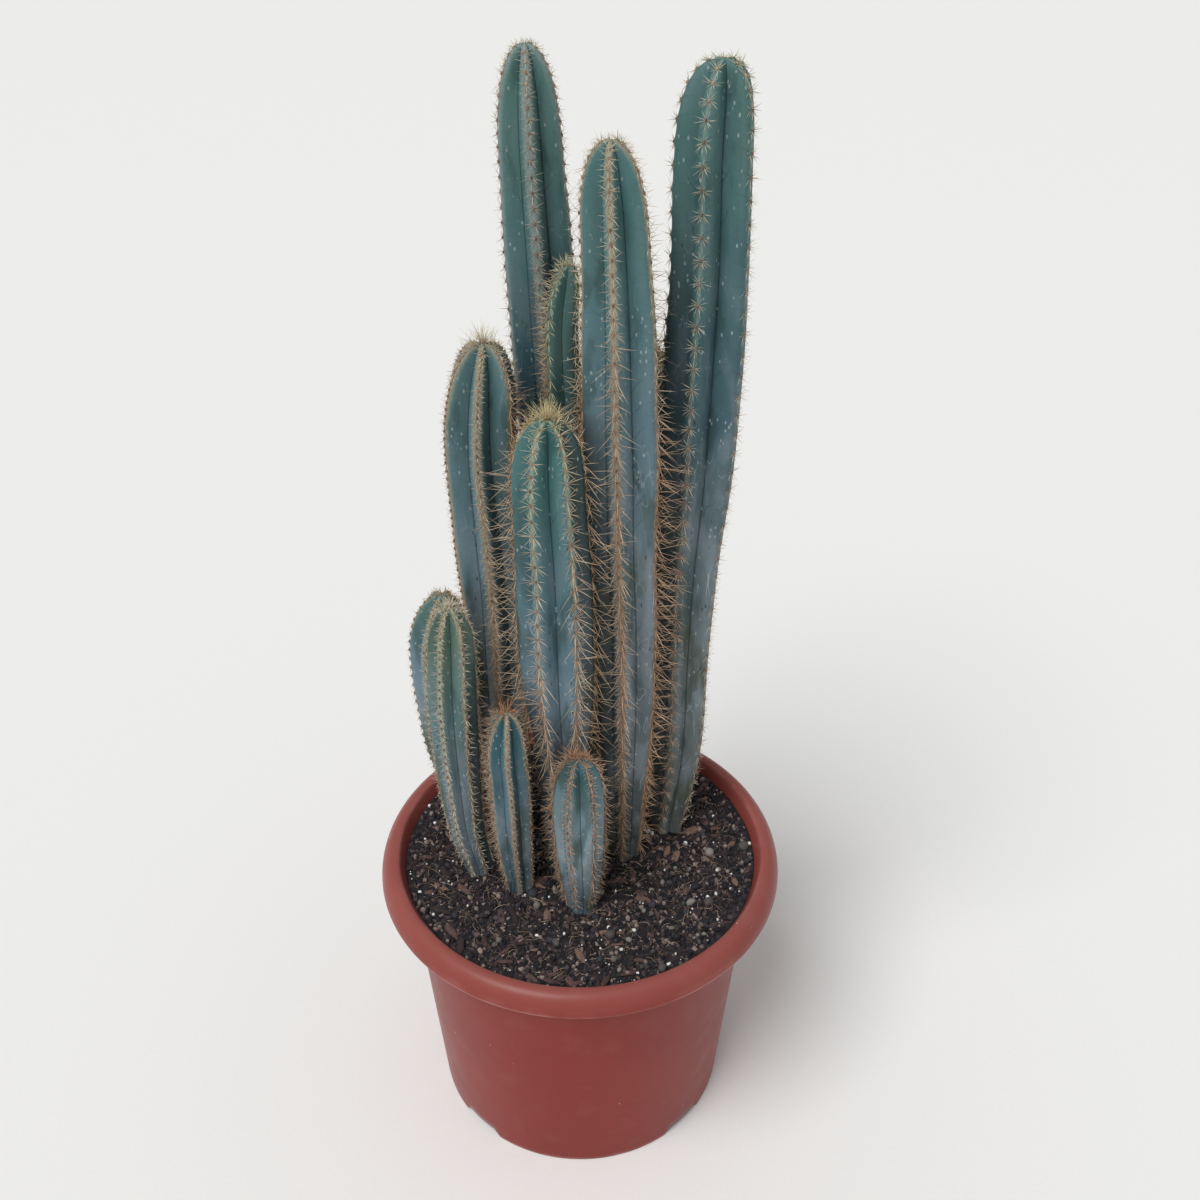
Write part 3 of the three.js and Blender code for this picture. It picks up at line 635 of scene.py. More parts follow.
def make_cushions(name, stem, material, draw):
    """The small felted cushion of each areole."""
    place, facing, across, up, height, _ = find_areoles(stem)
    _, radius = section(stem, height)
    size = np.clip(radius / CUSHION_FULL, 0.35, 1)[:, None]
    points = []
    for ring in range(CUSHION_RINGS):
        tilt = np.pi / 2 * ring / CUSHION_RINGS
        for side in range(CUSHION_SIDES):
            turn = 2 * np.pi * side / CUSHION_SIDES
            wide = across * (CUSHION_WIDTH * np.cos(turn) * np.cos(tilt))
            long = up * (CUSHION_LENGTH * np.sin(turn) * np.cos(tilt))
            jitter = draw.uniform(0.85, 1.15, (len(place), 1))
            points.append(place + ((wide + long) * jitter + facing * np.sin(tilt)) * size)
    points += [place + facing * CUSHION_TOP * size, place - facing * CUSHION_SUNK * size]
    faces = copies(len(points), closed_faces(CUSHION_RINGS, CUSHION_SIDES), len(place))
    age = np.clip((stem["height"] - height) / stem["crown"] / FRESH, 0, 1)
    values = {"age": age, "tone": draw.uniform(0, 1, len(place))}
    make_piece(
        name + "_cushions", np.stack(points, axis=1).reshape(-1, 3), faces, material, "areole_felt",
        **{key: np.repeat(numbers, len(points)) for key, numbers in values.items()})


# ---------- Pot ----------


def inside_radius(height):
    """The inside radius of the pot: a cone up to the neck, and then the flare up to the lip."""
    neck = NECK_HEIGHT + WALL
    cone = np.interp(height, (0, neck), (FOOT_RADIUS - WALL, NECK_RADIUS - WALL))
    flare = np.interp(height, (neck, POT_HEIGHT), (NECK_RADIUS - WALL, LIP_RADIUS))
    return np.where(height < neck, cone, flare)


POT_SIDES = 360
POT_HEIGHTS = 24
CURL_STEPS = 14
FLASH = 0.35  # the thin ridge left where the two halves of the mould meet
INNER_EDGE, OUTER_EDGE = 0.6, 0.8  # how far the foot ring's edges are rounded
MIDDLE_RING = 6  # radius of the smallest ring of points in the floor
NOTCH_EASE = 2.5  # degrees over which a notch's end rises


def curl(inset):
    """The curl of the rim, a quarter of an ellipse from its top out and down to its lower edge."""
    start = LIP_RADIUS + LIP_WIDTH
    angle = np.linspace(0, np.pi / 2, CURL_STEPS + 1)
    radius = start + (RIM_RADIUS - inset - start) * np.sin(angle)
    height = POT_HEIGHT - RIM_DROP + (RIM_DROP - inset) * np.cos(angle)
    return list(zip(radius, height))


def pot_profile():
    """The section of the pot, from the middle underneath round to the middle of the floor inside.
    Each point has a radius, a height and how much its edge is paled, by wear at the foot and by painted
    highlights along the rim."""
    floor = FLOOR_RAISE + FLOOR_THICKNESS
    inner_foot = FOOT_RADIUS - FOOT_RING
    rim_edge = POT_HEIGHT - RIM_DROP
    profile = [(radius, FLOOR_RAISE, 0) for radius in np.linspace(MIDDLE_RING, inner_foot, 12)]
    profile += [(inner_foot, INNER_EDGE, 0), (inner_foot + INNER_EDGE, 0, 0.4)]
    profile += [(FOOT_RADIUS - OUTER_EDGE, 0, 0.6), (FOOT_RADIUS, OUTER_EDGE, 1)]
    wall = np.linspace(0.02, 1, POT_HEIGHTS)
    profile += [(FOOT_RADIUS + (NECK_RADIUS - FOOT_RADIUS) * t, NECK_HEIGHT * t, 0) for t in wall]
    profile += [(*point, 0) for point in curl(WALL)]
    # The pale values on the rim's edges, from here on, are painted highlights.
    profile += [(RIM_RADIUS - WALL + 0.3, rim_edge - 0.1, 0.4)]
    profile += [(RIM_RADIUS - 0.2, rim_edge - FLASH, 1), (RIM_RADIUS, rim_edge + 0.2, 1)]
    outside = curl(0)[-2::-1]
    profile += [(*point, 0.15) for point in outside[:3]] + [(*point, 0) for point in outside[3:]]
    profile += [(LIP_RADIUS + 0.6, POT_HEIGHT - 0.05, 0.3), (LIP_RADIUS, POT_HEIGHT - 0.7, 0.6)]
    flare = np.linspace(POT_HEIGHT - 2, NECK_HEIGHT + WALL, 10)
    cone = np.linspace(NECK_HEIGHT + WALL - 4, floor + 1.5, 20)
    profile += [(float(inside_radius(height)), height, 0) for height in (*flare, *cone)]
    profile += [(float(inside_radius(floor)) - 1.5, floor, 0)]
    floor_rings = np.linspace(inside_radius(floor) - 10, MIDDLE_RING, 12)
    return np.array(profile + [(radius, floor, 0) for radius in floor_rings], float)


def make_pot(material):
    """The moulded pot: wall, curled rim, raised floor with drain holes and notched foot ring."""
    profile = pot_profile()
    headings = np.arange(POT_SIDES) * 360 / POT_SIDES
    half = np.degrees(NOTCH_WIDTH / 2 / FOOT_RADIUS)
    away = np.min([np.abs((headings - n + 180) % 360 - 180) for n in NOTCH_HEADINGS], axis=0)
    lift = NOTCH_HEIGHT * np.clip((half - away) / NOTCH_EASE + 0.5, 0, 1)
    points = []
    for radius, height, _ in profile:
        ring = outward(headings) * radius
        in_foot = radius > FOOT_RADIUS - FOOT_RING - 0.1
        ring[:, 2] = np.maximum(height, lift) if in_foot else height
        points.append(ring)
    points += [[(0, 0, FLOOR_RAISE + FLOOR_THICKNESS)], [(0, 0, FLOOR_RAISE)]]
    rubbed = np.append(np.repeat(profile[:, 2], POT_SIDES), (0, 0))
    faces = closed_faces(len(profile), POT_SIDES)
    pot = make_piece(
        "pot_moulding", np.vstack(points), faces, material, "pot_plastic", rubbed=rubbed)
    drill_drains(pot)
    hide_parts("pot")


def drill_drains(pot):
    """Cuts the drain holes through the pot's floor."""
    drill = bmesh.new()
    for drain in range(DRAIN_COUNT):
        place = outward(drain * 360 / DRAIN_COUNT) * DRAIN_CIRCLE
        place[2] = FLOOR_RAISE + FLOOR_THICKNESS / 2
        bmesh.ops.create_cone(
            drill, cap_ends=True, segments=32, radius1=DRAIN_RADIUS * MM, radius2=DRAIN_RADIUS * MM,
            depth=FLOOR_THICKNESS * 3 * MM, matrix=Matrix.Translation(place * MM))
    mesh = bpy.data.meshes.new("drill")
    drill.to_mesh(mesh)
    drill.free()
    cutter = bpy.data.objects.new("drill", mesh)
    bpy.context.scene.collection.objects.link(cutter)
    cut = pot.modifiers.new("drains", "BOOLEAN")
    cut.object = cutter
    drilled = pot.evaluated_get(bpy.context.evaluated_depsgraph_get())
    pot.data = bpy.data.meshes.new_from_object(drilled)
    pot.modifiers.clear()
    bpy.data.objects.remove(cutter)


# ---------- Soil ----------

SOIL_CELLS = 210
PEAT_GRAINS = ((1.5, 17, 1), (0.9, 7, 2), (0.55, 3.1, 3), (0.35, 1.6, 4))  # height, size, seed
PATTERN_SHIFT = 300  # which keeps every place in the pot on the pattern's positive side
PEAT_AT_WALL = 0.35  # share of the peat's roughness that is left at the wall
BARE_MARGIN = 2  # along the wall, where no grains lie
FOOT_COVER = 0.95  # share of a stem's foot that grains keep off
PEAT_CRUMBS = 7000
LAVA_GRIT = 240
PEBBLES = 30
PERLITE_GRAINS = 260
BARK_CHIPS = 320
COIR_FIBRES = 1500
FIBRE_STEPS = 8
FIBRE_CURL = 0.16  # radians that a fibre turns at each step, from one fibre to the next
FIBRE_WAVER = 0.12  # and from one step to the next
FIBRE_RISE = (0.1, 1.6)  # how far a fibre's middle arches up from the soil
FIBRE_LIFT = 0.4


def soil_height(x, y):
    """The height of the soil's surface at places."""
    swell = np.zeros_like(x)
    for height, length, heading in SOIL_WAVES:
        along = x * np.sin(np.radians(heading)) - y * np.cos(np.radians(heading))
        swell += height * np.sin(2 * np.pi * along / length)
    near_wall = np.hypot(x, y) / float(inside_radius(SOIL_LEVEL))
    calm = 1 - np.clip(near_wall, 0, 1) ** SOIL_CALM
    u, v = x + PATTERN_SHIFT, y + PATTERN_SHIFT
    peat = sum(height * grain(u, v, size, seed) for height, size, seed in PEAT_GRAINS)
    return SOIL_LEVEL + swell * calm + peat * (PEAT_AT_WALL + (1 - PEAT_AT_WALL) * calm)


def make_soil(material):
    """The bed of peat that fills the pot, with its rough surface."""
    reach = float(inside_radius(SOIL_LEVEL)) - GAP
    line = np.linspace(-1, 1, SOIL_CELLS + 1)
    u, v = (part.ravel() for part in np.meshgrid(line, line, indexing="ij"))
    x = reach * u * np.sqrt(1 - v * v / 2)
    y = reach * v * np.sqrt(1 - u * u / 2)
    points = [np.stack([x, y, soil_height(x, y)], axis=-1)]
    index = np.arange((SOIL_CELLS + 1) ** 2).reshape(SOIL_CELLS + 1, SOIL_CELLS + 1)
    faces = np.stack([index[:-1, :-1], index[1:, :-1], index[1:, 1:], index[:-1, 1:]], axis=-1)
    faces = faces.reshape(-1, 4).tolist()
    high = np.concatenate([index[:-1, 0], index[-1, :-1], index[:0:-1, -1], index[0, :0:-1]])
    rim = points[0][high]
    for height in (NECK_HEIGHT + WALL, FLOOR_RAISE + FLOOR_THICKNESS + GAP):
        low = sum(len(part) for part in points) + np.arange(len(rim))
        share = (float(inside_radius(height)) - GAP) / reach
        points.append(np.column_stack([rim[:, :2] * share, np.full(len(rim), height)]))
        faces += np.stack([high, low, np.roll(low, -1), np.roll(high, -1)], axis=-1).tolist()
        high = low
    faces.append(high[::-1].tolist())
    soil = make_piece("soil_bed", np.vstack(points), faces, material, "soil_mix")
    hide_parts("soil")


def ball(steps):
    """The points and faces of a small round shape, from an icosahedron."""
    shape = bmesh.new()
    bmesh.ops.create_icosphere(shape, subdivisions=steps, radius=1)
    points = np.array([v.co[:] for v in shape.verts])
    faces = [[v.index for v in face.verts] for face in shape.faces]
    shape.free()
    return points, faces


def open_soil(draw, count, reach=None):
    """Random places on the soil that no stem's foot covers. Twice as many are drawn as are needed."""
    reach = reach or float(inside_radius(SOIL_LEVEL)) - BARE_MARGIN
    radius = np.sqrt(draw.uniform(0, reach ** 2, count * 2))
    turn = draw.uniform(0, 2 * np.pi, count * 2)
    x, y = radius * np.cos(turn), radius * np.sin(turn)
    free = np.ones(len(x), bool)
    for stem in STEMS.values():
        right, back = stem["foot"]
        free &= np.hypot(x - right, y - back) > stem["form"][0][3] * FOOT_COVER
    return x[free][:count], y[free][:count]


def lumps(name, draw, places, sizes, stretch, rough, steps, material, slot, sink=0.25, smooth=True):
    """Many small lumps lying on the soil, each turned and worn its own way."""
    shape, faces = ball(steps)
    x, y = places
    count = len(x)
    worn = draw.normal(0, rough, (count, len(shape), 1))
    body = shape[None] * (1 + worn) * draw.uniform(*stretch, (count, 1, 3))
    spin, tip = draw.uniform(0, 2 * np.pi, count), draw.uniform(-0.5, 0.5, count)
    turned(body, (0, 1), spin)
    turned(body, (1, 2), tip)
    body *= sizes[:count, None, None] / 2
    lift = -body[..., 2].min(axis=1) * (1 - 2 * sink)
    middle = np.stack([x, y, soil_height(x, y) + lift], axis=-1)
    points = (body + middle[:, None]).reshape(-1, 3)
    tone = np.repeat(draw.uniform(0, 1, count), len(shape))
    make_piece(name, points, copies(len(shape), faces, count), material, slot, smooth, tone=tone)


def fibres(name, draw, places, lengths, thickness, material, slot):
    """Thin curled fibres lying over the soil."""
    x, y = places
    count = len(x)
    heading = draw.uniform(0, 2 * np.pi, count)
    curl_rate = draw.normal(0, FIBRE_CURL, count)
    step = lengths[:count] / FIBRE_STEPS
    points = []
    rise = draw.uniform(*FIBRE_RISE, count)
    for i in range(FIBRE_STEPS + 1):
        share = i / FIBRE_STEPS
        lift = FIBRE_LIFT + rise * np.sin(np.pi * share)
        middle = np.stack([x, y, soil_height(x, y) + lift], axis=-1)
        side = np.stack([-np.sin(heading), np.cos(heading), np.zeros(count)], axis=-1)
        girth = thickness * (1 - 0.6 * share)
        points += [middle + side * girth, middle - side * girth, middle + (0, 0, 1.4 * thickness)]
        x, y = x + np.cos(heading) * step, y + np.sin(heading) * step
        heading = heading + curl_rate + draw.normal(0, FIBRE_WAVER, count)
    size = len(points)
    shape = ring_faces(FIBRE_STEPS + 1, 3) + [(0, 2, 1), (size - 3, size - 2, size - 1)]
    tone = np.repeat(draw.uniform(0, 1, count), size)
    points = np.stack(points, axis=1).reshape(-1, 3)
    make_piece(name, points, copies(size, shape, count), material, slot, tone=tone)


# ---------- Finishes ----------


def waxy_skin(name, stem):
    """Living cactus skin under a bloom of wax. The wax makes it matt and blue-grey, and rubs off to
    green. Felt and cork line the crests, and pale flecks and dark scars are scattered over it."""
    material, tree, shader = new_material("waxy_skin_" + name)
    place = add(tree, "TexCoord", out=3)
    across, beside, beads, shade, share = (
        add(tree, "Attribute", out=2, attribute_name=value) for value in SKIN_VALUES)
    stretched = add(tree, "Mapping", {0: place, 3: (1, 1, 0.3)})

    # Along the stem: old grey skin below, blue in the middle and fresh green at the tip.
    drift = add(tree, "TexNoise", {"Vector": place, "Scale": per_metre(40), "Detail": 4})
    drifted = add(tree, "Math", {0: drift, 1: 0.2, 2: share}, operation="MULTIPLY_ADD")
    drifted = add(tree, "Math", {0: drifted, 1: 0.1}, operation="SUBTRACT")
    places = (0.05, 0.34, 0.64, 0.93)
    tint = add(tree, "ValToRGB", {0: drifted}, stops=tuple(zip(places, stem["skin"])))

    # The bloom lies in soft patches, thicker on the old skin below.
    clouds = add(tree, "TexNoise", {"Vector": stretched, "Scale": per_metre(14), "Detail": 8})
    patchy = add(tree, "MapRange", {0: share, 1: 0.8, 2: 0.4, 3: 0.15, 4: 0.8})
    bloom = add(tree, "MapRange", {0: clouds, 1: 0.49, 2: 0.6, 3: 0, 4: 1})
    bloom = add(tree, "Math", {0: bloom, 1: patchy}, operation="MULTIPLY")
    bare = add(tree, "MapRange", {0: clouds, 1: 0.46, 2: 0.35, 3: 0, 4: 0.6})

    # Water has dried in thin wandering lines, and algae have stained some of the old skin olive.
    # Between the stems the skin is darkened with painted shade.
    drips = add(tree, "TexNoise", {"Vector": stretched, "Scale": per_metre(9), "Detail": 1.5})
    bands = add(tree, "Math", {0: drips, 1: 9.0}, operation="MULTIPLY")
    bands = add(tree, "Math", {0: bands, 1: 1.0}, operation="PINGPONG")
    line = add(tree, "MapRange", {0: bands, 1: 0.1, 2: 0.0, 3: 0, 4: 1})
    dried = add(tree, "TexNoise", {"Vector": place, "Scale": per_metre(30), "Detail": 1})
    dried = add(tree, "MapRange", {0: dried, 1: 0.5, 2: 0.58, 3: 0, 4: patchy})
    line = add(tree, "Math", {0: line, 1: dried}, operation="MULTIPLY")
    algae = add(tree, "TexNoise", {"Vector": stretched, "Scale": per_metre(24), "Detail": 5})
    algae = add(tree, "MapRange", {0: algae, 1: 0.56, 2: 0.66, 3: 0, 4: patchy})
    # Painted shade darkens the skin where other stems stand close.
    painted_shade = add(tree, "Math", {0: shade, 1: 0.68}, operation="MULTIPLY")
    # The grooves are darkened with painted shade.
    groove = add(tree, "MapRange", {0: across, 1: 0.91, 2: 1.0, 3: 0, 4: 0.8})

    # A faint crease runs down from above each areole, and fades out on the flank. Painted shade darkens
    # it.
    slant = add(tree, "Math", {0: across, 1: 0.5, 2: beads}, operation="MULTIPLY_ADD")
    wavy = add(tree, "TexNoise", {"Vector": place, "Scale": per_metre(6), "Detail": 2})
    slant = add(tree, "Math", {0: wavy, 1: 0.3, 2: slant}, operation="MULTIPLY_ADD")
    turn = add(tree, "Math", {0: slant}, operation="FRACT")
    crease = add(tree, "MapRange", {0: turn, 1: 0.0, 2: 0.09, 3: 1, 4: 0})
    fading = add(tree, "MapRange", {0: across, 1: 0.2, 2: 0.72, 3: 0.5, 4: 0})
    upper = add(tree, "MapRange", {0: share, 1: 0.5, 2: 0.85, 3: 0.3, 4: 1})
    fading = add(tree, "Math", {0: fading, 1: upper}, operation="MULTIPLY")
    crease = add(tree, "Math", {0: crease, 1: fading}, operation="MULTIPLY")

    # In places older folds run on down the flank, and meet in the groove as a V. Painted shade darkens
    # them.
    steep = add(tree, "Math", {0: beads, 1: 0.55}, operation="MULTIPLY")
    steep = add(tree, "Math", {0: across, 1: -1.3, 2: steep}, operation="MULTIPLY_ADD")
    steep = add(tree, "Math", {0: wavy, 1: 0.5, 2: steep}, operation="MULTIPLY_ADD")
    turn = add(tree, "Math", {0: steep}, operation="FRACT")
    fold = add(tree, "MapRange", {0: turn, 1: 0.0, 2: 0.12, 3: 1, 4: 0})
    reach = add(tree, "MapRange", {0: across, 1: 0.4, 2: 0.7, 3: 0, 4: 0.5})
    folded = add(tree, "TexNoise", {"Vector": place, "Scale": per_metre(34), "Detail": 1})
    folded = add(tree, "MapRange", {0: folded, 1: 0.5, 2: 0.6, 3: 0, 4: reach})
    fold = add(tree, "Math", {0: fold, 1: folded}, operation="MULTIPLY")

    # Flecks of wax and dried water, and dark scars, each in a few cells only.
    long_cells = add(tree, "Mapping", {0: place, 3: (1, 1, 0.5)})
    cells, pick = (
        add(tree, "TexVoronoi", {"Vector": long_cells, "Scale": per_metre(2.9)}, out) for out in (0, 1))
    pick = add(tree, "SeparateColor", {0: pick})
    dot = add(tree, "MapRange", {0: cells, 1: 0.27, 2: 0.14, 3: 0, 4: 1})
    gathered = add(tree, "TexNoise", {"Vector": place, "Scale": per_metre(26), "Detail": 2})
    rare = add(tree, "MapRange", {0: gathered, 1: 0.35, 2: 0.65, 3: 0.98, 4: 0.45})
    few = add(tree, "Math", {0: pick, 1: rare}, operation="GREATER_THAN")
    fleck = add(tree, "Math", {0: dot, 1: few}, operation="MULTIPLY")
    fleck = add(tree, "Math", {0: fleck, 1: 0.65}, operation="MULTIPLY")
    cells, pick = (
        add(tree, "TexVoronoi", {"Vector": stretched, "Scale": per_metre(5)}, out) for out in (0, 1))
    pick = add(tree, "SeparateColor", {0: pick}, out=1)
    dot = add(tree, "MapRange", {0: cells, 1: 0.14, 2: 0.07, 3: 0, 4: 0.75})
    old = add(tree, "MapRange", {0: share, 1: 0.5, 2: 0.85, 3: 0.6, 4: 0.95})
    few = add(tree, "Math", {0: pick, 1: old}, operation="GREATER_THAN")
    scar = add(tree, "Math", {0: dot, 1: few}, operation="MULTIPLY")

    # All of these lie over the skin's own colour, one after another.
    for cover, code in (
            (bloom, "7e8b93"), (bare, "2f4a4a"), (line, "a3b1b6"), (algae, "47503f"), (painted_shade, "2b2b28"),
            (groove, "16292b"), (crease, "2f4a48"), (fold, "2c424a"), (fleck, "a9babb"),
            (scar, "20282a")):
        tint = add(tree, "Mix", {0: cover, 6: tint, 7: linear(code)}, out=2, data_type="RGBA")

    # The line of felt and cork along the crest.
    wide, cover = stem["felt"]
    fuzz = add(tree, "TexNoise", {"Vector": place, "Scale": per_metre(1.1), "Detail": 3})
    ragged = add(tree, "Math", {0: fuzz, 1: 1.6, 2: beside}, operation="MULTIPLY_ADD")
    band = add(tree, "MapRange", {0: ragged, 1: wide + 1.6, 2: wide * 0.5 + 0.3, 3: 0, 4: cover})
    low, high = stem["band"]
    felt = add(tree, "ValToRGB", {0: drifted}, stops=((0.4, low), (0.9, high)))
    rust = add(tree, "MapRange", {0: fuzz, 1: 0.5, 2: 0.72, 3: 0, 4: 0.5})
    felt = add(tree, "Mix", {0: rust, 6: felt, 7: linear("6a5246")}, out=2, data_type="RGBA")
    tint = add(tree, "Mix", {0: band, 6: tint, 7: felt}, out=2, data_type="RGBA")

    rough = add(tree, "MapRange", {0: clouds, 1: 0.3, 2: 0.7, 3: 0.5, 4: 0.66})
    relief = add(tree, "Math", {0: fleck, 1: 0.6, 2: fuzz}, operation="MULTIPLY_ADD")
    folds = add(tree, "Math", {0: crease, 1: fold}, operation="ADD")
    relief = add(tree, "Math", {0: folds, 1: -2.0, 2: relief}, operation="MULTIPLY_ADD")
    bump = add(tree, "Bump", {"Height": relief, "Strength": 0.2, "Distance": 0.3 * MM})
    settle(shader, {"Base Color": tint, "Roughness": rough, "Normal": bump, "IOR": 1.4})
    return material


def horny_spine(name, stem):
    """Hard dead spine tissue as it grew, smooth like horn: reddish-brown at the root and paler to the
    point. Spines that stand free weather paler than sheltered ones, some have dulled to brown, and
    young ones have a colour of their own."""
    material, tree, shader = new_material("horny_spine_" + name)
    youth, sheltered, along, tone = (
        add(tree, "Attribute", out=2, attribute_name=value)
        for value in ("youth", "sheltered", "along", "tone"))
    free, close, young = stem["spines"]
    dull = add(tree, "MapRange", {0: tone, 1: 0.3, 2: 1.0, 3: 0, 4: 0.6})
    root = add(tree, "MapRange", {0: along, 1: 0.0, 2: 0.4, 3: 0.6, 4: 0})
    tint = linear(free)
    for cover, code in ((sheltered, close), (youth, young), (dull, "83614c"), (root, "7d4630")):
        tint = add(tree, "Mix", {0: cover, 6: tint, 7: linear(code)}, out=2, data_type="RGBA")
    settle(shader, {"Base Color": tint, "Roughness": 0.45, "IOR": 1.54})
    return material


def areole_felt():
    """Short matted plant felt, dull and soft-edged: in tufts from rusty brown to grey-beige where it
    has weathered, and honey-coloured where it is young, at the tips of the stems."""
    material, tree, shader = new_material("areole_felt")
    place = add(tree, "TexCoord", out=3)
    age = add(tree, "Attribute", out=2, attribute_name="age")
    tone = add(tree, "Attribute", out=2, attribute_name="tone")
    fuzz = add(tree, "TexNoise", {"Vector": place, "Scale": per_metre(0.6), "Detail": 2})
    mixed = add(tree, "Math", {0: fuzz, 1: tone}, operation="ADD")
    mixed = add(tree, "Math", {0: mixed, 1: 0.5}, operation="MULTIPLY")
    old = add(tree, "ValToRGB", {0: mixed}, stops=((0.25, "5c4436"), (0.55, "806656"), (0.8, "a39482")))
    fresh = add(tree, "ValToRGB", {0: mixed}, stops=((0.3, "9c6e48"), (0.8, "cdb98c")))
    tint = add(tree, "Mix", {0: age, 6: fresh, 7: old}, out=2, data_type="RGBA")
    bump = add(tree, "Bump", {"Height": fuzz, "Strength": 0.8, "Distance": 0.4 * MM})
    settle(shader, {
        "Base Color": tint, "Roughness": 0.95, "Normal": bump, "Sheen Weight": 0.5,
        "Sheen Roughness": 0.5})
    return material


def moulded_polypropylene():
    """Terracotta-coloured polypropylene from a satin mould. It has a soft sheen, faint flow marks, a
    painted highlight on the rim, edges paled by wear at the foot and by painted highlights along the
    rim, a film of dust and a few scuffed specks."""
    material, tree, shader = new_material("moulded_polypropylene")
    place = add(tree, "TexCoord", out=3)
    rubbed = add(tree, "Attribute", out=2, attribute_name="rubbed")
    flow = add(tree, "TexNoise", {"Vector": place, "Scale": per_metre(90), "Detail": 5})
    tint = add(tree, "ValToRGB", {0: flow}, stops=((0.3, "81231a"), (0.7, "8b2b20")))
    height = add(tree, "SeparateXYZ", {0: place}, out=2)
    # The top of the rim is paler: a painted highlight.
    painted_rim_highlight = add(tree, "MapRange", {
        0: height, 1: (POT_HEIGHT - RIM_DROP - 3) * MM, 2: POT_HEIGHT * MM, 3: 0, 4: 0.4})
    dusty = add(tree, "TexNoise", {"Vector": place, "Scale": per_metre(22), "Detail": 6})
    dust = add(tree, "MapRange", {0: dusty, 1: 0.52, 2: 0.78, 3: 0, 4: 0.1})
    broken = add(tree, "MapRange", {0: dusty, 1: 0.42, 2: 0.62, 3: 0.1, 4: 0.7})
    # Pale edges: wear at the foot ring, and painted highlights along the rim's edges.
    worn = add(tree, "Math", {0: rubbed, 1: broken}, operation="MULTIPLY")
    specks, pick = (
        add(tree, "TexVoronoi", {"Vector": place, "Scale": per_metre(16)}, out) for out in (0, 1))
    pick = add(tree, "SeparateColor", {0: pick})
    dot = add(tree, "MapRange", {0: specks, 1: 0.07, 2: 0.045, 3: 0, 4: 0.7})
    few = add(tree, "Math", {0: pick, 1: 0.6}, operation="GREATER_THAN")
    speck = add(tree, "Math", {0: dot, 1: few}, operation="MULTIPLY")
    for cover, code in (
            (painted_rim_highlight, "a8736c"), (dust, "a98a82"), (worn, "c07f76"), (speck, "c9a79d")):
        tint = add(tree, "Mix", {0: cover, 6: tint, 7: linear(code)}, out=2, data_type="RGBA")
    rough = add(tree, "MapRange", {0: dusty, 1: 0.3, 2: 0.7, 3: 0.32, 4: 0.42})
    satin = add(tree, "TexNoise", {"Vector": place, "Scale": per_metre(0.8), "Detail": 2})
    wavy = add(tree, "TexNoise", {"Vector": place, "Scale": per_metre(40), "Detail": 1})
    relief = add(tree, "Math", {0: wavy, 1: 5.0, 2: satin}, operation="MULTIPLY_ADD")
    relief = add(tree, "Math", {0: speck, 1: 3.0, 2: relief}, operation="MULTIPLY_ADD")
    bump = add(tree, "Bump", {"Height": relief, "Strength": 0.12, "Distance": 0.2 * MM})
    settle(shader, {
        "Base Color": tint, "Roughness": rough, "Normal": bump, "IOR": 1.49,
        "Specular IOR Level": 0.25, "Sheen Weight": 0.15, "Sheen Roughness": 0.12})
    return material


def damp_peat():
    """Damp crumbled peat: almost black and dull, and a greyer brown on the clods that have dried."""
    material, tree, shader = new_material("damp_peat")
    place = add(tree, "TexCoord", out=3)
    clods = add(tree, "TexNoise", {"Vector": place, "Scale": per_metre(5), "Detail": 8})
    tint = add(tree, "ValToRGB", {0: clods}, stops=(
        (0.3, "0f0d14"), (0.5, "27212a"), (0.62, "463c42"), (0.78, "80706d")))
    crumbs = add(tree, "TexVoronoi", {"Vector": place, "Scale": per_metre(1.6)})
    shade = add(tree, "MapRange", {0: crumbs, 1: 0.1, 2: 0.6, 3: 0, 4: 0.6})
    tint = add(tree, "Mix", {0: shade, 6: tint, 7: linear("0f0c0b")}, out=2, data_type="RGBA")
    bump = add(tree, "Bump", {"Height": clods, "Strength": 0.9, "Distance": 1.2 * MM})
    settle(shader, {"Base Color": tint, "Roughness": 0.88, "Normal": bump})
    return material


def mineral(name, size, roughness, *codes):
    """Loose dull grains, whose colours run from one grain to the next, with pores of a given size."""
    material, tree, shader = new_material(name)
    place = add(tree, "TexCoord", out=3)
    tone = add(tree, "Attribute", out=2, attribute_name="tone")
    pores = add(tree, "TexNoise", {"Vector": place, "Scale": per_metre(size), "Detail": 4})
    mixed = add(tree, "Math", {0: pores, 1: 0.5, 2: tone}, operation="MULTIPLY_ADD")
    mixed = add(tree, "Math", {0: mixed, 1: 0.25}, operation="SUBTRACT")
    places = np.linspace(0.05, 0.95, len(codes)).tolist()
    tint = add(tree, "ValToRGB", {0: mixed}, stops=tuple(zip(places, codes)))
    bump = add(tree, "Bump", {"Height": pores, "Strength": 0.7, "Distance": 0.5 * MM})
    settle(shader, {"Base Color": tint, "Roughness": roughness, "Normal": bump})
    return material


# ---------- The potted plant ----------


def make_stems():
    """Every stem: its skin, its spines and its cushions, each with random draws of its own."""
    felt = areole_felt()
    for number, (name, stem) in enumerate(STEMS.items()):
        make_skin(name, stem, waxy_skin(name, stem))
        make_spines(name, stem, horny_spine(name, stem), np.random.default_rng(100 + number))
        make_cushions(name, stem, felt, np.random.default_rng(200 + number))


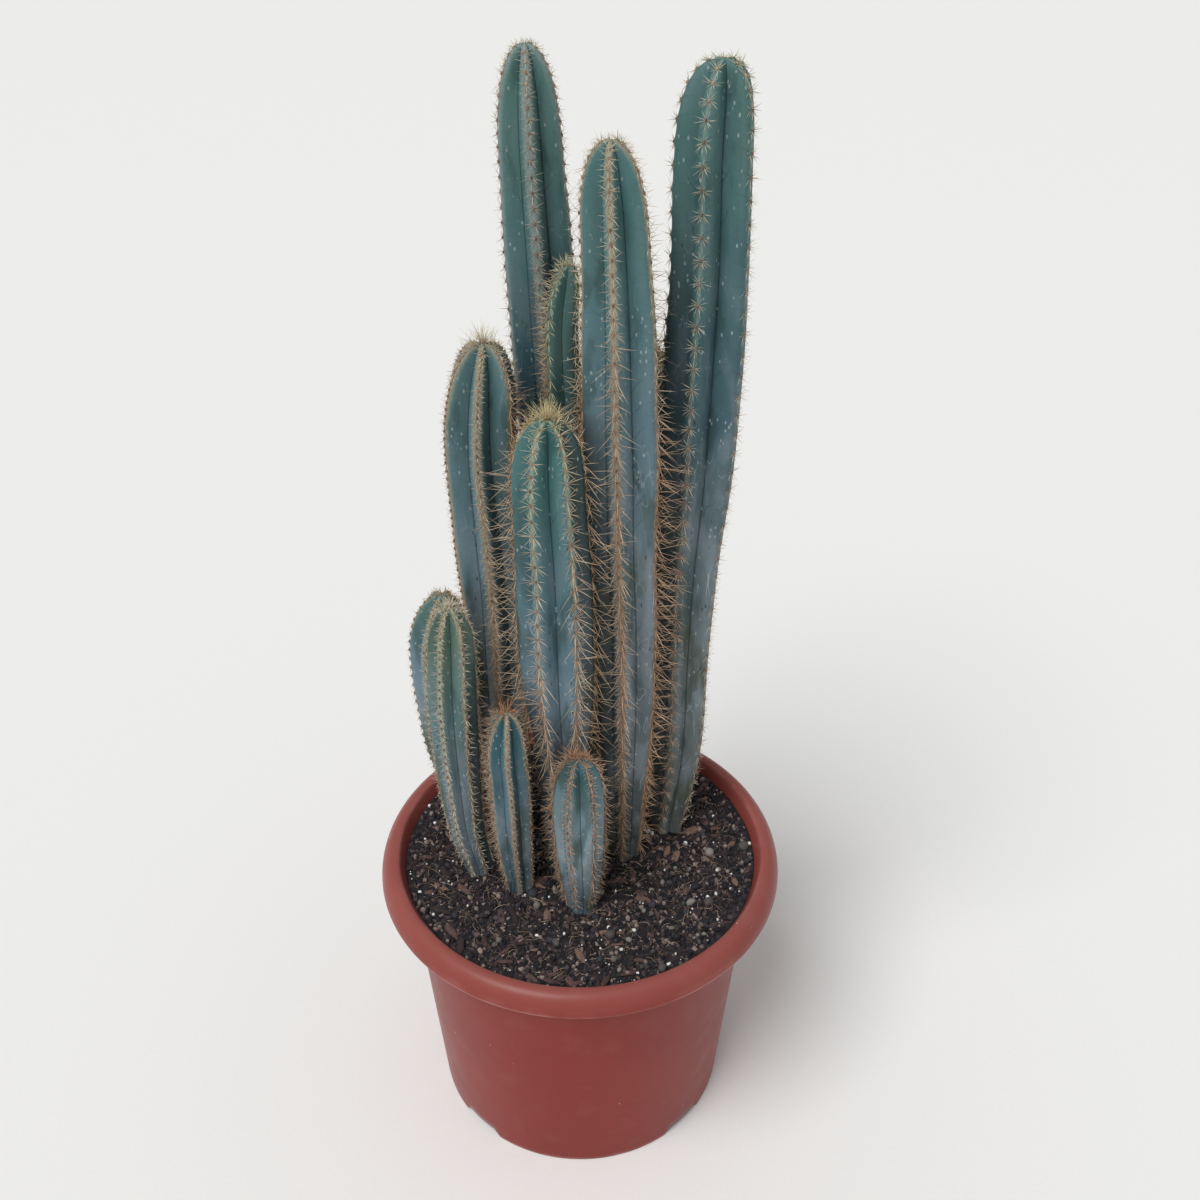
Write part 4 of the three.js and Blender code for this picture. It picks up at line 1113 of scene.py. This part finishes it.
def make_bed():
    """The bed of potting mix, and the grains, chips and fibres that lie loose on it."""
    draw = np.random.default_rng(7)
    make_soil(damp_peat())
    peat = mineral("peat_crumbs", 1.2, 0.9, "121118", "1f1c24", "2d272d", "43393c", "5c4c4b",
                   "94837b")
    grit = mineral("lava_grit", 1.5, 0.8, "1f2127", "32353d", "474344", "5a524d", "8a857e")
    white = mineral("perlite", 0.7, 0.75, "d8d6cf", "efeeea", "ffffff")
    bark = mineral("bark_chips", 1.5, 0.85, "261c1e", "41302f", "5c4540", "7a6153")
    straw = mineral("coir_fibre", 0.5, 0.8, "45302a", "6b5040", "93785f", "cdbba0")
    sizes = 0.9 + 3.4 * draw.uniform(0, 1, PEAT_CRUMBS) ** 2
    lumps("peat_crumbs", draw, open_soil(draw, PEAT_CRUMBS), sizes, (0.5, 1.3), 0.16, 1, peat,
          "soil_mix", smooth=False)
    lumps("lava_grit", draw, open_soil(draw, LAVA_GRIT), draw.uniform(2, 4.8, LAVA_GRIT),
          (0.7, 1.15), 0.09, 2, grit, "grit")
    lumps("pebbles", draw, open_soil(draw, PEBBLES), draw.uniform(5, 8.5, PEBBLES),
          (0.6, 1.15), 0.045, 2, grit, "grit")
    lumps("perlite_grains", draw, open_soil(draw, PERLITE_GRAINS),
          0.8 + 2.5 * draw.uniform(0, 1, PERLITE_GRAINS) ** 2, (0.7, 1.15), 0.1, 2, white,
          "perlite", sink=0.15)
    lumps("bark_chips", draw, open_soil(draw, BARK_CHIPS), draw.uniform(3, 11, BARK_CHIPS),
          ((0.9, 0.3, 0.15), (1.7, 0.6, 0.35)), 0.1, 2, bark, "soil_mix", smooth=False)
    fibres("coir_fibres", draw, open_soil(draw, COIR_FIBRES, reach=120),
           draw.uniform(3, 15, COIR_FIBRES), 0.2, straw, "soil_mix")


# ---------- Studio ----------

FLOOR_REACH = 14  # metres to each side
FLOOR_DROP = 0.2  # under the foot of the pot
SKY_STRENGTH = 0.42
KEY_STRENGTH = 2
KEY_SPREAD = 32  # degrees across
KEY_AHEAD = (0.42, 0.5, -1)  # where the key's light goes

def make_floor():
    """A wide flat sheet of pale paper."""
    mesh = bpy.data.meshes.new("floor")
    corners = ((-1, -1), (1, -1), (1, 1), (-1, 1))
    mesh.from_pydata([(FLOOR_REACH * x, FLOOR_REACH * y, 0) for x, y in corners], [], [(0, 1, 2, 3)])
    floor = bpy.data.objects.new("floor", mesh)
    material, tree, shader = new_material("pale_paper")
    place = add(tree, "TexCoord", out=3)
    tooth = add(tree, "TexNoise", {"Vector": place, "Scale": per_metre(3)})
    tint = add(tree, "ValToRGB", {0: tooth}, stops=((0.2, "f1f1ef"), (0.8, "f4f4f2")))
    settle(shader, {"Base Color": tint, "Roughness": 0.9})
    mesh.materials.append(material)
    bpy.context.scene.collection.objects.link(floor)
    floor.location.z = -FLOOR_DROP * MM


def make_lights():
    """Soft light from all round, and a soft key from the left, in front and above."""
    world = bpy.data.worlds.new("studio")
    world.use_nodes = True
    settle(world.node_tree.nodes["Background"], {"Color": linear("ffffff"), "Strength": SKY_STRENGTH})
    bpy.context.scene.world = world
    key = bpy.data.lights.new("key", "SUN")
    key.energy = KEY_STRENGTH
    key.angle = math.radians(KEY_SPREAD)
    lamp = bpy.data.objects.new("key", key)
    lamp.rotation_euler = Vector(KEY_AHEAD).to_track_quat("-Z", "Y").to_euler()
    bpy.context.scene.collection.objects.link(lamp)


PICTURE = 1200
FOCAL = 1400.27  # in pixels of the picture
SENSOR = 36
CAMERA_PLACE = (0, -0.7649, 0.9890)
PITCH, YAW, ROLL = 0.60817, 0.018423, 0.004437  # down, to the right, and round the view


def make_camera():
    """The camera at the photograph's place and angle."""
    data = bpy.data.cameras.new("camera")
    data.sensor_width = SENSOR
    data.lens = FOCAL / PICTURE * SENSOR
    camera = bpy.data.objects.new("camera", data)
    level = math.cos(PITCH)
    ahead = Vector((math.sin(YAW) * level, math.cos(YAW) * level, -math.sin(PITCH)))
    right = Vector((math.cos(YAW), -math.sin(YAW), 0))
    up = right.cross(ahead)
    turned_right = right * math.cos(ROLL) + up * math.sin(ROLL)
    turned_up = up * math.cos(ROLL) - right * math.sin(ROLL)
    turn = Matrix((turned_right, turned_up, -ahead)).transposed()
    camera.matrix_world = Matrix.Translation(CAMERA_PLACE) @ turn.to_4x4()
    bpy.context.scene.collection.objects.link(camera)
    bpy.context.scene.camera = camera


make_camera()
make_lights()
make_floor()
make_pot(moulded_polypropylene())
make_bed()
make_stems()
bpy.context.scene.view_settings.view_transform = "Standard"
